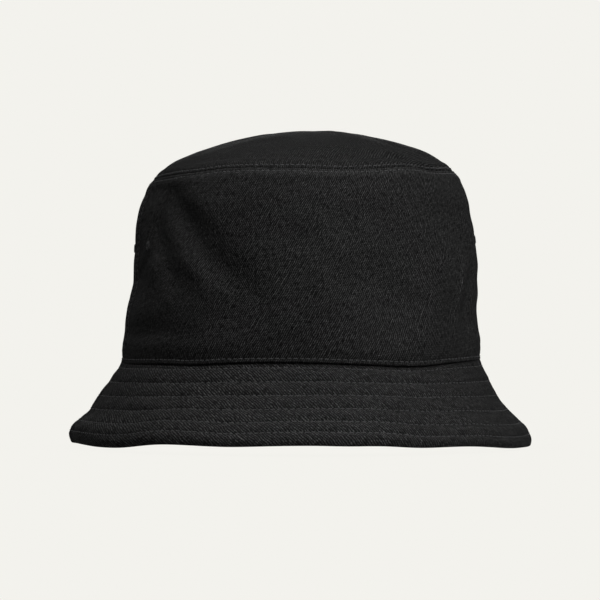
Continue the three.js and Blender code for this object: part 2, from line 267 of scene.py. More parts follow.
bs_t, bs = resample(brim_line(BRIM_SIDE), STEP)
bf_t, bf = resample(brim_line(BRIM_FRONT), STEP)
NB = len(bs)
L_BRIM = bs_t[-1]
bf = np.stack([np.interp(np.linspace(0, 1, NB), bf_t / bf_t[-1], bf[:, i]) for i in (0, 1)], 1)
s_all = np.linspace(0, L_BRIM, NB)
front_share = (np.sin(THETA) ** 2)[None, :]
br = bs[:, :1] * (1 - front_share) + bf[:, :1] * front_share
bz = bs[:, 1:] * (1 - front_share) + bf[:, 1:] * front_share
BRIM = np.stack([br * np.cos(THETA), (br + OVAL) * np.sin(THETA), bz], 2)
del b

ROWS_S = [3.6, 12.4, 21.1, 29.9, 38.4, 45.5]  # brim quilting rows, from the crown seam along the slope
PITCH_BRIM, PITCH_TIP, PITCH_HEM, PITCH_SIDE = 3.1, 2.7, 3.1, 2.9
HEM_T, TIP_GAP, TIP_NEAR = 1.8, 2.4, 1.6  # rows beside the seams


ROW_DRIFT = [(-90, 0.6), (-60, 0.5), (-37, 0.3), (-15, -0.5), (0, -0.8), (15, -0.2), (39, 1.5), (60, 1.3), (90, 0.9), (135, 0.2), (180, -0.3), (225, 0.3)]


def row_line(s0, theta):
    """How far down the slope a quilting row runs at each angle; the rows are not quite even."""
    a = [(x + FACING) % 360 for x, _ in ROW_DRIFT]
    return s0 + loop_spline(a, [y for _, y in ROW_DRIFT], theta) * (s0 / L_BRIM) ** 0.7


# ------------------------------------------------------------------ cloth simulation
def simulate(grid, pins, frames, grow, gravity, bend):
    """Runs Blender's Cloth on a closed grid of rings and returns the settled points (mm)."""
    rows, cols = grid.shape[:2]
    scale = 0.01  # the cloth runs ten times life size, where its solver is at ease
    verts = (grid.reshape(-1, 3) * scale).tolist()
    faces = []
    for i in range(rows - 1):
        for j in range(cols):
            k = (j + 1) % cols
            faces.append((i * cols + j, i * cols + k, (i + 1) * cols + k, (i + 1) * cols + j))
    top = len(verts)
    verts.append((grid[-1].mean(0) * scale + np.array([0, 0, 0.002])).tolist())
    for j in range(cols):
        faces.append(((rows - 1) * cols + j, (rows - 1) * cols + (j + 1) % cols, top))
    mesh = bpy.data.meshes.new("drape")
    mesh.from_pydata(verts, [], faces)
    ob = bpy.data.objects.new("drape", mesh)
    bpy.context.scene.collection.objects.link(ob)
    group = ob.vertex_groups.new(name="pin")
    for i in range(rows):
        for w in sorted(set(np.round(pins[i], 4))):
            ids = [int(i * cols + j) for j in np.nonzero(np.round(pins[i], 4) == w)[0]]
            if w > 0:
                group.add(ids, float(w), "REPLACE")
    mod = ob.modifiers.new("cloth", "CLOTH")
    s = mod.settings
    s.quality = 6
    s.mass = 0.15
    s.air_damping = 2.0
    s.tension_stiffness = s.compression_stiffness = 25
    s.shear_stiffness = 8
    s.bending_stiffness = bend
    s.tension_damping = s.compression_damping = 8
    s.shear_damping = 5
    s.bending_damping = 0.8
    s.vertex_group_mass = "pin"
    s.pin_stiffness = 0.6
    s.shrink_min = -grow
    s.effector_weights.gravity = gravity
    mod.collision_settings.use_collision = False
    mod.collision_settings.use_self_collision = False
    mod.point_cache.frame_start = 1
    mod.point_cache.frame_end = frames
    scene = bpy.context.scene
    for f in range(1, frames + 1):
        scene.frame_set(f)
    dg = bpy.context.evaluated_depsgraph_get()
    e = ob.evaluated_get(dg)
    co = np.zeros(len(e.data.vertices) * 3)
    e.data.vertices.foreach_get("co", co)
    out = co.reshape(-1, 3)[: rows * cols].reshape(rows, cols, 3) / scale
    bpy.data.objects.remove(ob)
    bpy.data.meshes.remove(mesh)
    scene.frame_set(1)
    return out


SIM_COLS = 120
sim_theta = np.arange(SIM_COLS) / SIM_COLS * TAU


def coarse(master, rows):
    """Rows of a master surface at even steps, on the simulation's columns."""
    at = np.linspace(0, master.shape[0] - 1, rows)
    lo = np.floor(at).astype(int)
    hi = np.minimum(lo + 1, master.shape[0] - 1)
    f = (at - lo)[:, None, None]
    cols = np.linspace(0, COLS, SIM_COLS, endpoint=False).astype(int)
    m = master[:, cols]
    return m[lo] * (1 - f) + m[hi] * f


R_BRIM, R_SIDE, R_TIP = 11, 20, 14
drape_brim = np.zeros((NB, COLS))
drape_crown = np.zeros((len(prof), COLS))
gb = coarse(BRIM, R_BRIM)[::-1]  # edge first
gs = coarse(CROWN[: J0 + 1], R_SIDE)
stop = int((L_CROWN - 12 - L_SIDE) / STEP) + J0
gt = coarse(CROWN[J0:stop], R_TIP)
grid = np.concatenate([gb[:-1], gs, gt[1:]])
pins = np.zeros(grid.shape[:2])
seam_row, tip_row = R_BRIM - 1, R_BRIM - 2 + R_SIDE
pins[:] = 0.02
pins[: seam_row] = 0.012
pins[seam_row - 1 : seam_row + 1] = 1.0
pins[tip_row] = 0.35
# seam allowances and the eyelets hold the side seams a little
for j in (0, SIM_COLS // 2):
    pins[seam_row:tip_row, j] = 0.12
# uneven stiffness, as in worn cloth, lets the folds find their own places
pins *= 1 + 0.5 * ripple(sim_theta[None, :], np.arange(len(grid))[:, None] * 5.0, 12, 4, 2, 9, 0.05)
pins = np.clip(pins, 0, 1)
start = grid.copy()
nrm = normals_of(grid)
start = start + nrm * (
    0.25 * ripple(sim_theta[None, :], np.arange(len(grid))[:, None] * 5.0, 24, 9, 3, 14, 0.09)
)[..., None] * (1 - np.clip(pins * 3, 0, 1))[..., None]
settled = simulate(start, pins, 24, 0.012, 0.15, 1.5)
move = np.einsum("ijk,ijk->ij", settled - grid, nrm)
move -= move.mean(1, keepdims=True)  # the outline stays; the folds are what the cloth adds
rms = move[seam_row:].std()
print(f"drape: folds of {rms:.2f} mm rms, most {np.abs(move).max():.2f} mm")
move = np.clip(move, -3.5, 3.5)
side_part = move[seam_row : tip_row + 1]
tip_part = move[tip_row:]
drape_crown[: J0 + 1] = refine(side_part, J0 + 1, COLS)
n_tip = stop - J0
tip_fine = refine(tip_part, n_tip, COLS)
drape_crown[J0 + 1 : stop] = tip_fine[1:]
fade = np.linspace(1, 0, len(prof) - stop)[:, None] ** 2
ring = tip_fine[-1:]
drape_crown[stop:] = ring * fade
drape_brim[:] = refine(move[: seam_row + 1][::-1], NB, COLS)

# ------------------------------------------------------------------ modelled folds on the crown
fold_cols, fold_rows = 360, len(prof) // 4
ft = np.linspace(0, L_CROWN, fold_rows)
fz = np.interp(ft, t_all, prof[:, 1])
fth = np.arange(fold_cols) / fold_cols * TAU
folds = np.zeros((fold_rows, fold_cols))


def fold(path, width, depth, right=None, taper=0.8):
    """A ridge (depth > 0) or valley along a path of (angle in degrees, height in mm). width is its spread to the left of
    the path, right the spread to the right of it, both as seen from outside."""
    p = np.array(path, float)
    c = np.concatenate([[0], np.cumsum(np.hypot(*np.diff(p * [1.57, 1.0], axis=0).T))])
    line = spline(c, p, np.linspace(0, c[-1], 60))
    # position along the crown's profile, measured up from the brim seam
    lt = np.interp(line[:, 1], prof[:, 1], t_all)
    lr = np.interp(lt, t_all, prof[:, 0])
    amount = np.sin(np.linspace(0.02, 0.98, 60) * math.pi) ** taper
    tu = np.gradient(np.radians(line[:, 0])) * lr
    tv = np.gradient(lt)
    d2 = np.full(folds.shape, 1e9)
    amp = np.zeros(folds.shape)
    hand = np.zeros(folds.shape)
    for a, t, r, w, gu, gv in zip(np.radians(line[:, 0]), lt, lr, amount, tu, tv, strict=True):
        du = ((fth - a + math.pi) % TAU - math.pi)[None, :] * max(r, 5)
        dv = ft[:, None] - t
        q = du**2 + dv**2
        near = q < d2
        d2 = np.where(near, q, d2)
        amp = np.where(near, w, amp)
        hand = np.where(near, (gu * dv - gv * du) / math.hypot(gu, gv), hand)
    spread = width if right is None else width + (right - width) * smooth(0.5 - hand / 3.0)
    folds[:] += depth * amp * np.exp(-d2 / spread**2)


# from the front of the left side seam's top, two drag lines run down to the front
fold([(203.0, 133.0), (210.8, 122.0), (217.0, 114.3), (222.0, 105.6), (226.6, 97.0), (232.6, 89.4), (240.6, 81.0), (248.0, 73.0)], 8.0, -1.95, right=6.0)
fold([(192.0, 139.0), (205.0, 128.0), (217.0, 117.0), (228.0, 104.0)], 5.5, -2.6, right=17.0)
fold([(205.0, 122.0), (208.5, 115.0), (212.5, 106.5), (216.5, 98.0), (221.5, 90.0), (227.0, 82.0), (233.0, 75.0)], 6.0, 1.3, right=6.0)
fold([(196.0, 117.0), (202.0, 106.0), (206.5, 97.5), (211.0, 89.0), (215.5, 80.0), (218.5, 72.0)], 5.5, -1.5)
fold([(203.0, 130.0), (200.5, 121.0), (199.5, 112.0), (198.0, 105.0)], 4.4, -1.8)
# slack just over the brim seam
fold([(170.0, 58.5), (192.0, 58.0), (210.0, 59.0), (226.0, 55.0)], 4.2, -1.25)
fold([(170.0, 68.5), (194.0, 67.5), (212.0, 69.5)], 4.6, 0.75)
fold([(168.0, 51.0), (190.0, 51.0), (212.0, 51.5), (240.0, 50.0)], 3.2, 0.55)
# the crease that the eyelet pulls
fold([(200.5, 101.5), (196.0, 97.0), (191.5, 92.0), (186.0, 88.0), (180.0, 83.0)], 2.6, -1.35)
fold([(203.5, 98.7), (201.5, 90.0), (198.0, 81.0)], 4.0, 0.8)
fold([(326.3, 93.0), (322.6, 85.5), (319.8, 77.5), (318.2, 68.0), (317.3, 57.0)], 4.0, 1.7, right=3.4)
fold([(333.0, 91.0), (329.6, 84.0), (327.0, 76.0), (325.4, 67.0), (324.3, 58.0)], 4.4, -1.7)
fold([(290.1, 128.6), (306.7, 119.3), (320.6, 101.1), (324.0, 86.0)], 10.5, -1.7)
fold([(242.0, 116.0), (262.0, 115.5), (284.0, 113.0), (303.0, 109.0), (319.0, 101.0)], 14.0, -2.7, right=28.0)
fold([(255.8, 125.7), (267.4, 104.5), (285.5, 72.8)], 12.0, 0.35)
fold([(260.6, 106.3), (266.9, 93.3), (272.6, 78.3)], 4.5, -0.55)
fold([(290.6, 100.3), (299.9, 85.3), (305.6, 70.3)], 6.0, -0.5)
fold([(281.0, 148.9), (294.1, 146.6), (307.3, 143.6), (319.4, 139.7)], 3.2, 0.8)
fold([(282.6, 143.9), (293.5, 143.4), (303.0, 142.2), (312.3, 139.6)], 3.0, -0.9)
fold([(300.0, 153.5), (318.0, 148.5), (333.0, 142.5)], 4.0, -0.6)
fold([(215.0, 150.0), (232.0, 153.0), (252.0, 152.0)], 7.0, -0.5)
# behind: drag lines from the side seams and a slack patch
fold([(172.0, 128.0), (155.0, 112.0), (141.0, 94.0), (133.0, 77.0)], 7.5, -1.8)
fold([(168.0, 112.0), (151.0, 96.0), (139.0, 78.0)], 7.0, 1.3)
fold([(8.0, 126.0), (22.0, 108.0), (36.0, 92.0), (46.0, 80.0)], 8.0, -1.6)
fold([(12.0, 105.0), (28.0, 90.0), (42.0, 73.0)], 7.0, 1.1)
fold([(70.0, 120.0), (88.0, 98.0), (112.0, 82.0)], 10.0, -1.0)
fold([(60.0, 62.0), (82.0, 66.0), (104.0, 60.0)], 6.0, -0.9)
fold([(120.0, 150.0), (90.0, 154.0), (62.0, 149.0)], 6.0, -0.6)
crown_fold = refine(folds, len(prof), COLS)

# the folds die out at the sewn edges
tt = t_all[:, None]
hold = smooth((tt - 2.0) / 11.0) * (0.25 + 0.75 * smooth(np.abs(tt - L_SIDE) / 7.0))
soft = ripple(THETA[None, :], tt, 26, 31, 6, 26, 0.16, 0.6) * 0.16
drape_share = 0.85 - 0.62 * smooth((tt - L_SIDE + 2.0) / 8.0)
macro = (crown_fold + drape_share * drape_crown) * hold + soft * hold

# just over the brim seam the side panels tuck in, most at the front left
tuck = loop_spline([0, 60, 120, 180, 215, 250, 275, 300, 330], [0.5, 0.6, 0.7, 1.0, 1.1, 0.75, 0.38, 0.35, 0.4], THETA)
macro -= tuck[None, :] * np.exp(-(((tt - 3.2) / 4.6) ** 2))

CROWN = CROWN + normals_of(CROWN) * macro[..., None]

# the brim: soft waves that grow towards the edge
ss = s_all[:, None]
grow = smooth(ss / L_BRIM)
brim_soft = ripple(THETA[None, :], ss, 10, 77, 3, 9, 0.02) * 0.35 * grow
brim_soft += ripple(THETA[None, :], ss, 22, 78, 12, 40, 0.10, 0.5) * 0.12 * (0.35 + 0.65 * grow)
BRIM = BRIM - normals_of(BRIM) * (0.55 * drape_brim * grow + brim_soft)[..., None]


# ------------------------------------------------------------------ overall set of the hat
def view_u(p):
    return p @ RIGHT


# half widths of the outline to the left and right of the axis, at some heights
OUT_Z = [0, 4.8, 7.8, 10.9, 13.9, 17.0, 20.1, 23.1, 26.2, 29.2, 32.3, 35.4, 38.4, 41.5, 44.5, 53.7, 59.8,
         65.9, 72.1, 75.1, 78.2, 81.3, 84.3, 90.4, 96.6, 102.7, 108.8, 114.9, 121.1, 127.2, 133.3, 138]  # fmt: skip
OUT_L = [116.8, 117.9, 118.1, 115.8, 112.9, 108.1, 107.1, 104.8, 103.4, 100.7, 98.3, 96.8, 94.8, 93.0, 90.9,
         90.8, 89.9, 89.3, 88.7, 88.1, 87.4, 86.6, 85.8, 85.7, 85.5, 84.9, 84.9, 84.3, 83.2, 81.3, 78.6, 76.0]  # fmt: skip
OUT_R = [116.9, 118.0, 116.6, 115.0, 111.6, 107.8, 104.9, 101.3, 100.1, 97.8, 96.4, 95.1, 93.0, 92.9, 90.9,
         91.6, 90.2, 89.4, 89.4, 90.0, 90.0, 90.1, 90.0, 90.4, 89.7, 88.7, 87.9, 86.3, 85.5, 83.7, 80.9, 77.1]  # fmt: skip


def outline_of(master):
    """Half widths towards the left and right of the fitted side, per row, with each row's mean height there."""
    u = view_u(master)
    return -u.min(1), u.max(1), master[np.arange(len(master)), u.argmin(1), 2], master[np.arange(len(master)), u.argmax(1), 2]


def fit_outline(master, rows):
    """Moves each row sideways so that its outline from the fitted side follows OUT_L and OUT_R."""
    u = view_u(master)
    left, right, zl, zr = outline_of(master)
    dl = np.interp(zl, OUT_Z, OUT_L) - left
    dr = np.interp(zr, OUT_Z, OUT_R) - right
    k = 9
    kernel = np.ones(k) / k
    dl = np.convolve(np.pad(dl, k // 2, mode="edge"), kernel, "valid") * rows
    dr = np.convolve(np.pad(dr, k // 2, mode="edge"), kernel, "valid") * rows
    share_r = np.clip(u / right[:, None], 0, 1) ** 1.6
    share_l = np.clip(-u / left[:, None], 0, 1) ** 1.6
    return (share_r * dr[:, None] - share_l * dl[:, None])[..., None] * RIGHT


row_on = np.ones(len(prof))
last = np.searchsorted(t_all, L_SIDE - 3)
crown_shift = fit_outline(CROWN, row_on)
# on the tip the seam's own shift fades out towards the top
seam_shift = crown_shift[last].copy()
for i in range(last, len(prof)):
    f = 1 - smooth((t_all[i] - t_all[last]) / (L_CROWN - t_all[last]) * 1.1)
    ui = view_u(CROWN[i])
    crown_shift[i] = np.stack(
        [np.interp(np.linspace(0, 1, COLS), np.linspace(0, 1, COLS), seam_shift[:, k]) for k in range(3)], 1
    ) * f
brim_shift = fit_outline(BRIM, np.ones(NB))
# both sides of the brim seam move together
seam_mix = np.exp(-ss / 5.0)[..., None]
brim_shift = brim_shift * (1 - seam_mix) + crown_shift[:1] * seam_mix
CROWN = CROWN + crown_shift
BRIM = BRIM + brim_shift

# the tip sits a little higher on one side, and its top leans that way
TILT = 0.037
lift = smooth((CROWN[..., 2] - SEAM_Z) / CROWN_H)
CROWN[..., 2] += TILT * view_u(CROWN) * lift
CROWN += RIGHT * (smooth((tt - L_SIDE) / (L_CROWN - L_SIDE)) * 4.2)[..., None]

# the very top, where all the columns meet, is one smooth patch
apex = CROWN[-1].mean(0)
ax, ay = CROWN[..., 0] - apex[0], CROWN[..., 1] - apex[1]
away = np.hypot(ax, ay)
on_top = (tt + 0 * away) > L_SIDE + 20.0
patch = lambda x, y: np.stack([np.ones_like(x), x, y, x * x, x * y, y * y], -1)  # noqa: E731
ring_ = on_top & (away > 14.0) & (away < 30.0)
fit, *_ = np.linalg.lstsq(patch(ax[ring_], ay[ring_]), CROWN[..., 2][ring_], rcond=None)
CROWN[..., 2] += (patch(ax, ay) @ fit - CROWN[..., 2]) * (1 - smooth((away - 8.0) / 16.0)) * on_top

# and its outline from the fitted side follows these heights
DOME_U = [-80, -75.2, -72.2, -68.6, -63.5, -56.4, -48.7, -39, -26.3, -10, 7.4, 15, 20, 25, 31, 37.5, 49.7, 59.4, 67.1, 72.2, 75.2, 77.8, 84]  # fmt: skip
DOME_Z = [131.0, 137.3, 141.0, 143.8, 145.9, 149.0, 152.3, 155.0, 158.1, 160.5, 160.6, 159.7, 159.4, 159.3, 158.4, 157.7, 154.7, 151.8,
          149.2, 146.3, 142.5, 139.4, 131.0]  # fmt: skip
bins = np.linspace(-74, 74, 75)
top_u, top_z = view_u(CROWN[J0:]).ravel(), CROWN[J0:, :, 2].ravel()
have = np.array([top_z[np.abs(top_u - c) < 1.2].max() for c in bins])
gap = np.interp(bins, DOME_U, DOME_Z) - have
gap = np.convolve(np.pad(gap, 4, mode="edge"), np.ones(9) / 9, "valid")
CROWN[..., 2] += np.interp(view_u(CROWN), bins, gap) * smooth((tt - L_SIDE) / 12.0)

# the seams wander by a millimetre or so, as sewn seams do
psi = lambda d: [(x + FACING) % 360 for x in d]  # noqa: E731
seam_wave = loop_spline(
    psi([-78, -60, -49, -37, -24, -13, 0, 13, 27, 38, 51, 71, 95, 120, 150, 180, 215, 250]),
    [-1.6, -1.6, -1.4, -1.7, -0.8, -0.35, -0.4, -1.0, -2.0, -2.4, -1.25, -0.1, 0.2, -0.5, 0.3, -0.4, 0.2, -0.5],
    THETA,
)
tip_wave = loop_spline(
    psi([-95, -75, -55, -45, -27, -13, 0, 12, 22, 33, 40, 46, 53, 65, 80, 110, 140, 180, 215, 240]),
    [-0.3, 0.3, 0.85, 0.9, 1.6, 0.8, -0.1, -1.3, -1.4, -0.9, -0.5, -0.8, -1.8, -1.6, -0.8, 0.4, -0.3, 0.5, -0.5, 0.2],
    THETA,
)
edge_wave = loop_spline(
    psi([-90, -72, -46, -36, -19, -8, 3, 12, 19, 27, 36, 45, 57, 75, 100, 130, 160, 200, 230]),
    [0.6, 1.0, 0.0, 1.2, -0.3, -0.4, -0.45, -0.8, -0.85, -1.6, -1.25, -1.0, -1.7, -1.5, -1.0, -0.1, 0.6, -0.4, 0.3],
    THETA,
)
CROWN[..., 2] += seam_wave * np.exp(-tt / 12.0) + tip_wave * np.exp(-((tt - L_SIDE) ** 2) / 2 / 9.0**2)
BRIM[..., 2] += seam_wave * np.exp(-ss / 12.0) + edge_wave * smooth((ss / L_BRIM - 0.35) / 0.65)
BRIM[..., 2] += max(0.0, -0.9 - BRIM[..., 2].min())

N_CROWN = normals_of(CROWN)
N_BRIM = -normals_of(BRIM)
N_CROWN[-1] = N_CROWN[-2].mean(0)
N_CROWN /= np.linalg.norm(N_CROWN, axis=2, keepdims=True)


# the left side seam leans a little to the front on its way up, and everything beside it goes along
def lean(t):
    return 5.0 * smooth(np.asarray(t, float) / L_SIDE) / 84.0


def warp(theta, t):
    """Angle on the hat for an angle on the flat panels."""
    d = (theta - math.pi + math.pi) % TAU - math.pi
    fade = 1 - smooth((np.asarray(t, float) - L_SIDE) / 30.0)
    return theta + lean(np.minimum(t, L_SIDE)) * np.exp(-((d / 0.6) ** 2)) * fade


# ------------------------------------------------------------------ fine relief: seams, stitch rows, quilting
def girth(master, row):
    p = master[row]
    return np.linalg.norm(np.roll(p, -1, 0) - p, axis=1).sum()


def count(master, row, pitch):
    return int(round(girth(master, row) / pitch))


row_at = lambda t: int(np.clip(round(t / STEP), 0, len(prof) - 1))  # noqa: E731
N_HEM = count(CROWN, row_at(HEM_T), PITCH_HEM)
N_TIPLO = count(CROWN, row_at(L_SIDE - TIP_GAP), PITCH_TIP)
N_TIPUP = count(CROWN, row_at(L_SIDE + TIP_NEAR), PITCH_TIP)
brim_row = lambda s: int(np.clip(round(s / L_BRIM * (NB - 1)), 0, NB - 1))  # noqa: E731
N_ROWS = [count(BRIM, brim_row(s), PITCH_BRIM) for s in ROWS_S]
PHASES = rng.uniform(0, TAU, 16)

relief = np.zeros((len(prof), COLS))
for t0, n, ph, depth in (
    (HEM_T, N_HEM, PHASES[0], 0.46),
    (L_SIDE - TIP_GAP, N_TIPLO, PHASES[1], 0.32),
    (L_SIDE + TIP_NEAR, N_TIPUP, PHASES[2], 0.28),
):
    holes = 0.75 - 0.25 * np.cos(n * THETA + ph)
    relief -= depth * np.exp(-(((tt - t0) / 0.8) ** 2)) * holes[None, :]
# the allowance under each seam makes a low step where it ends
relief += 0.30 * smooth((8.0 - tt) / 2.5) * smooth(tt / 1.0)
relief += 0.34 * np.exp(-(((tt - 0.7) / 0.8) ** 2))
relief += 0.22 * smooth((8.0 - np.abs(tt - L_SIDE)) / 2.5)
welt = loop_spline([0, 60, 120, 180, 205, 235, 260, 300, 330], [0.4, 0.4, 0.35, 0.15, 0.12, 0.3, 0.5, 0.5, 0.4], THETA)
relief += welt[None, :] * np.exp(-(((tt - (L_SIDE - 4.2)) / 2.4) ** 2)) + 0.25 * np.exp(-(((tt - (L_SIDE + 4.4)) / 2.0) ** 2))
# small puckers that the stitching pulls in, square to the seams
pucker = ripple(THETA[None, :], tt, 30, 5, 50, 110, 0.12)
relief += 0.10 * pucker * (
    np.exp(-(((tt - HEM_T) / 4.0) ** 2)) + 1.2 * np.exp(-(((tt - L_SIDE) / 4.5) ** 2))
)
# side seams: a rolled groove with a low ridge each side and a stitch row either way
half_arc = np.linalg.norm(CROWN[:, :, :2], axis=2)
side_row_gap = 2.4
for centre in (0.0, math.pi):
    turn = lean(tt) if centre > 1 else 0.0
    dist = ((THETA[None, :] - centre - turn + math.pi) % TAU - math.pi) * half_arc
    body = smooth((L_SIDE - tt) / 3.0)
    relief += body * (
        0.28 * smooth((7.0 - np.abs(dist)) / 2.0)
        - 0.28 * np.exp(-(((np.abs(dist) - side_row_gap) / 0.75) ** 2))
        - 0.45 * np.exp(-((dist / 0.7) ** 2))
    )
    relief += body * 0.09 * np.cos(tt / 6.3 * TAU + 2.0 * np.sin(tt / 9.0)) * np.exp(-((dist / 5.0) ** 2))
relief = relief * (1 - on_top * (1 - smooth((away - 1.0) / 8.0)))
CROWN_MACRO = CROWN.copy()
CROWN = CROWN + N_CROWN * relief[..., None]

at_side = np.abs(np.sin(THETA - math.radians(FACING)))[None, :] ** 10
quilt = np.zeros((NB, COLS))
lines = [np.zeros(COLS)] + [row_line(s0, THETA) for s0 in ROWS_S] + [np.full(COLS, L_BRIM - 0.8)]
puff = [0.20, 0.95, 1.00, 0.88, 0.80, 0.72, 0.50]
for k in range(len(lines) - 1):
    a, c = lines[k][None, :], lines[k + 1][None, :]
    f = np.clip((ss - a) / (c - a), 0, 1)
    inside = (ss >= a) & (ss < c)
    bump = np.clip(np.sin(math.pi * f), 0, 1) ** 0.85
    vary = (1 + 0.35 * ripple(THETA[None, :], ss * 0, 14, 200 + k, 5, 38, 0.0)) * (1 - 0.6 * at_side)
    quilt += np.where(inside, puff[k] * bump * vary, 0)
for k, n in enumerate(N_ROWS):
    holes = 0.7 - 0.3 * np.cos(n * THETA + PHASES[4 + k])
    quilt -= 0.20 * np.exp(-(((ss - lines[k + 1][None, :]) / 0.75) ** 2)) * holes[None, :]
brim_pucker = ripple(THETA[None, :], ss, 40, 6, 60, 130, 0.16)
near_row = sum(np.exp(-(((ss - ln[None, :]) / 2.6) ** 2)) for ln in lines[1:-1])
quilt += 0.10 * brim_pucker * np.clip(near_row, 0, 1)
quilt *= smooth(ss / 1.5)
UNDER_QUILT = quilt * 0.8
BRIM_MACRO = BRIM.copy()
# the brim's own side seams
arc_b = np.linalg.norm(BRIM[:, :, :2], axis=2)
for centre in (0.0, math.pi):
    dist = ((THETA - centre + math.pi) % TAU - math.pi)[None, :] * arc_b
    quilt += 0.22 * smooth((6.0 - np.abs(dist)) / 2.5) - 0.40 * np.exp(-((dist / 0.7) ** 2))
quilt += (-0.42 + 1.3 * at_side) * np.exp(-(((ss - 0.2) / 1.0) ** 2)) + 0.7 * at_side * np.exp(-(((ss - 1.5) / 2.0) ** 2))
BRIM = BRIM + N_BRIM * quilt[..., None]


# ------------------------------------------------------------------ sampling
class Surface:
    """A master surface with its macro shape and normals, read at any angle and row distance."""

    def __init__(self, points, macro, normals, length, warped):
        self.p, self.m, self.n, self.length, self.warped = points, macro, normals, length, warped

    def read(self, grid, theta, t):
        rows = grid.shape[0]
        u = np.clip(np.asarray(t, float) / self.length * (rows - 1), 0, rows - 1)
        i = np.minimum(np.floor(u).astype(int), rows - 2)
        f = u - i
        v = (np.asarray(theta, float) % TAU) / TAU * COLS
        j = np.floor(v).astype(int) % COLS
        g = v - np.floor(v)
        k = (j + 1) % COLS
        if grid.ndim == 3:
            f, g = f[..., None], g[..., None]
        return (
            grid[i, j] * (1 - f) * (1 - g)
            + grid[i + 1, j] * f * (1 - g)
            + grid[i, k] * (1 - f) * g
            + grid[i + 1, k] * f * g
        )

    def at(self, theta, t, depth):
        """Points at a depth under the surface (negative: above it). Near the surface the fine relief counts, deep down only the macro shape."""
        theta, t, depth = np.broadcast_arrays(theta, t, depth)
        if self.warped:
            theta = warp(theta, t)
        n = self.read(self.n, theta, t)
        n = n / np.linalg.norm(n, axis=-1, keepdims=True)
        fine = self.read(self.p, theta, t)
        macro = self.read(self.m, theta, t)
        w = smooth((depth - 0.9) / 0.8)[..., None]
        return fine * (1 - w) + macro * w - n * depth[..., None]


crown = Surface(CROWN, CROWN_MACRO, N_CROWN, L_CROWN, True)
brim = Surface(BRIM, BRIM_MACRO, N_BRIM, L_BRIM, False)


# ------------------------------------------------------------------ mesh building
def build(name, verts, quads, tris=(), uv=None, uv_scale=1.0, sharp=50.0):
    """A mesh object from arrays in mm, smooth-shaded with sharp cut edges, turned outwards."""
    v = np.asarray(verts, float) * MM
    quads = np.asarray(quads, np.int64).reshape(-1, 4)
    tris = np.asarray(tris, np.int64).reshape(-1, 3)
    a, b_, c, d = (v[quads[:, k]] for k in range(4))
    vol = np.einsum("ij,ij->i", a, np.cross(b_, c)).sum() + np.einsum("ij,ij->i", a, np.cross(c, d)).sum()
    if len(tris):
        a, b_, c = (v[tris[:, k]] for k in range(3))
        vol += np.einsum("ij,ij->i", a, np.cross(b_, c)).sum()
    if vol < 0:
        quads = quads[:, ::-1]
        tris = tris[:, ::-1]
    mesh = bpy.data.meshes.new(name)
    mesh.vertices.add(len(v))
    mesh.vertices.foreach_set("co", v.astype(np.float32).ravel())
    loops = np.concatenate([quads.ravel(), tris.ravel()])
    mesh.loops.add(len(loops))
    mesh.loops.foreach_set("vertex_index", loops.astype(np.int32))
    sizes = np.concatenate([np.full(len(quads), 4), np.full(len(tris), 3)])
    starts = np.concatenate([[0], np.cumsum(sizes)[:-1]])
    mesh.polygons.add(len(sizes))
    mesh.polygons.foreach_set("loop_start", starts.astype(np.int32))
    mesh.update(calc_edges=True)
    mesh.polygons.foreach_set("use_smooth", np.ones(len(sizes), bool))
    if uv is not None:
        layer = mesh.uv_layers.new(name=GREY)
        layer.data.foreach_set("uv", (np.asarray(uv, float)[loops] * uv_scale).astype(np.float32).ravel())
    mesh.validate()
    mesh.update()
    if sharp:
        mesh.set_sharp_from_angle(angle=math.radians(sharp))
    ob = bpy.data.objects.new(name, mesh)
    bpy.context.scene.collection.objects.link(ob)
    return ob


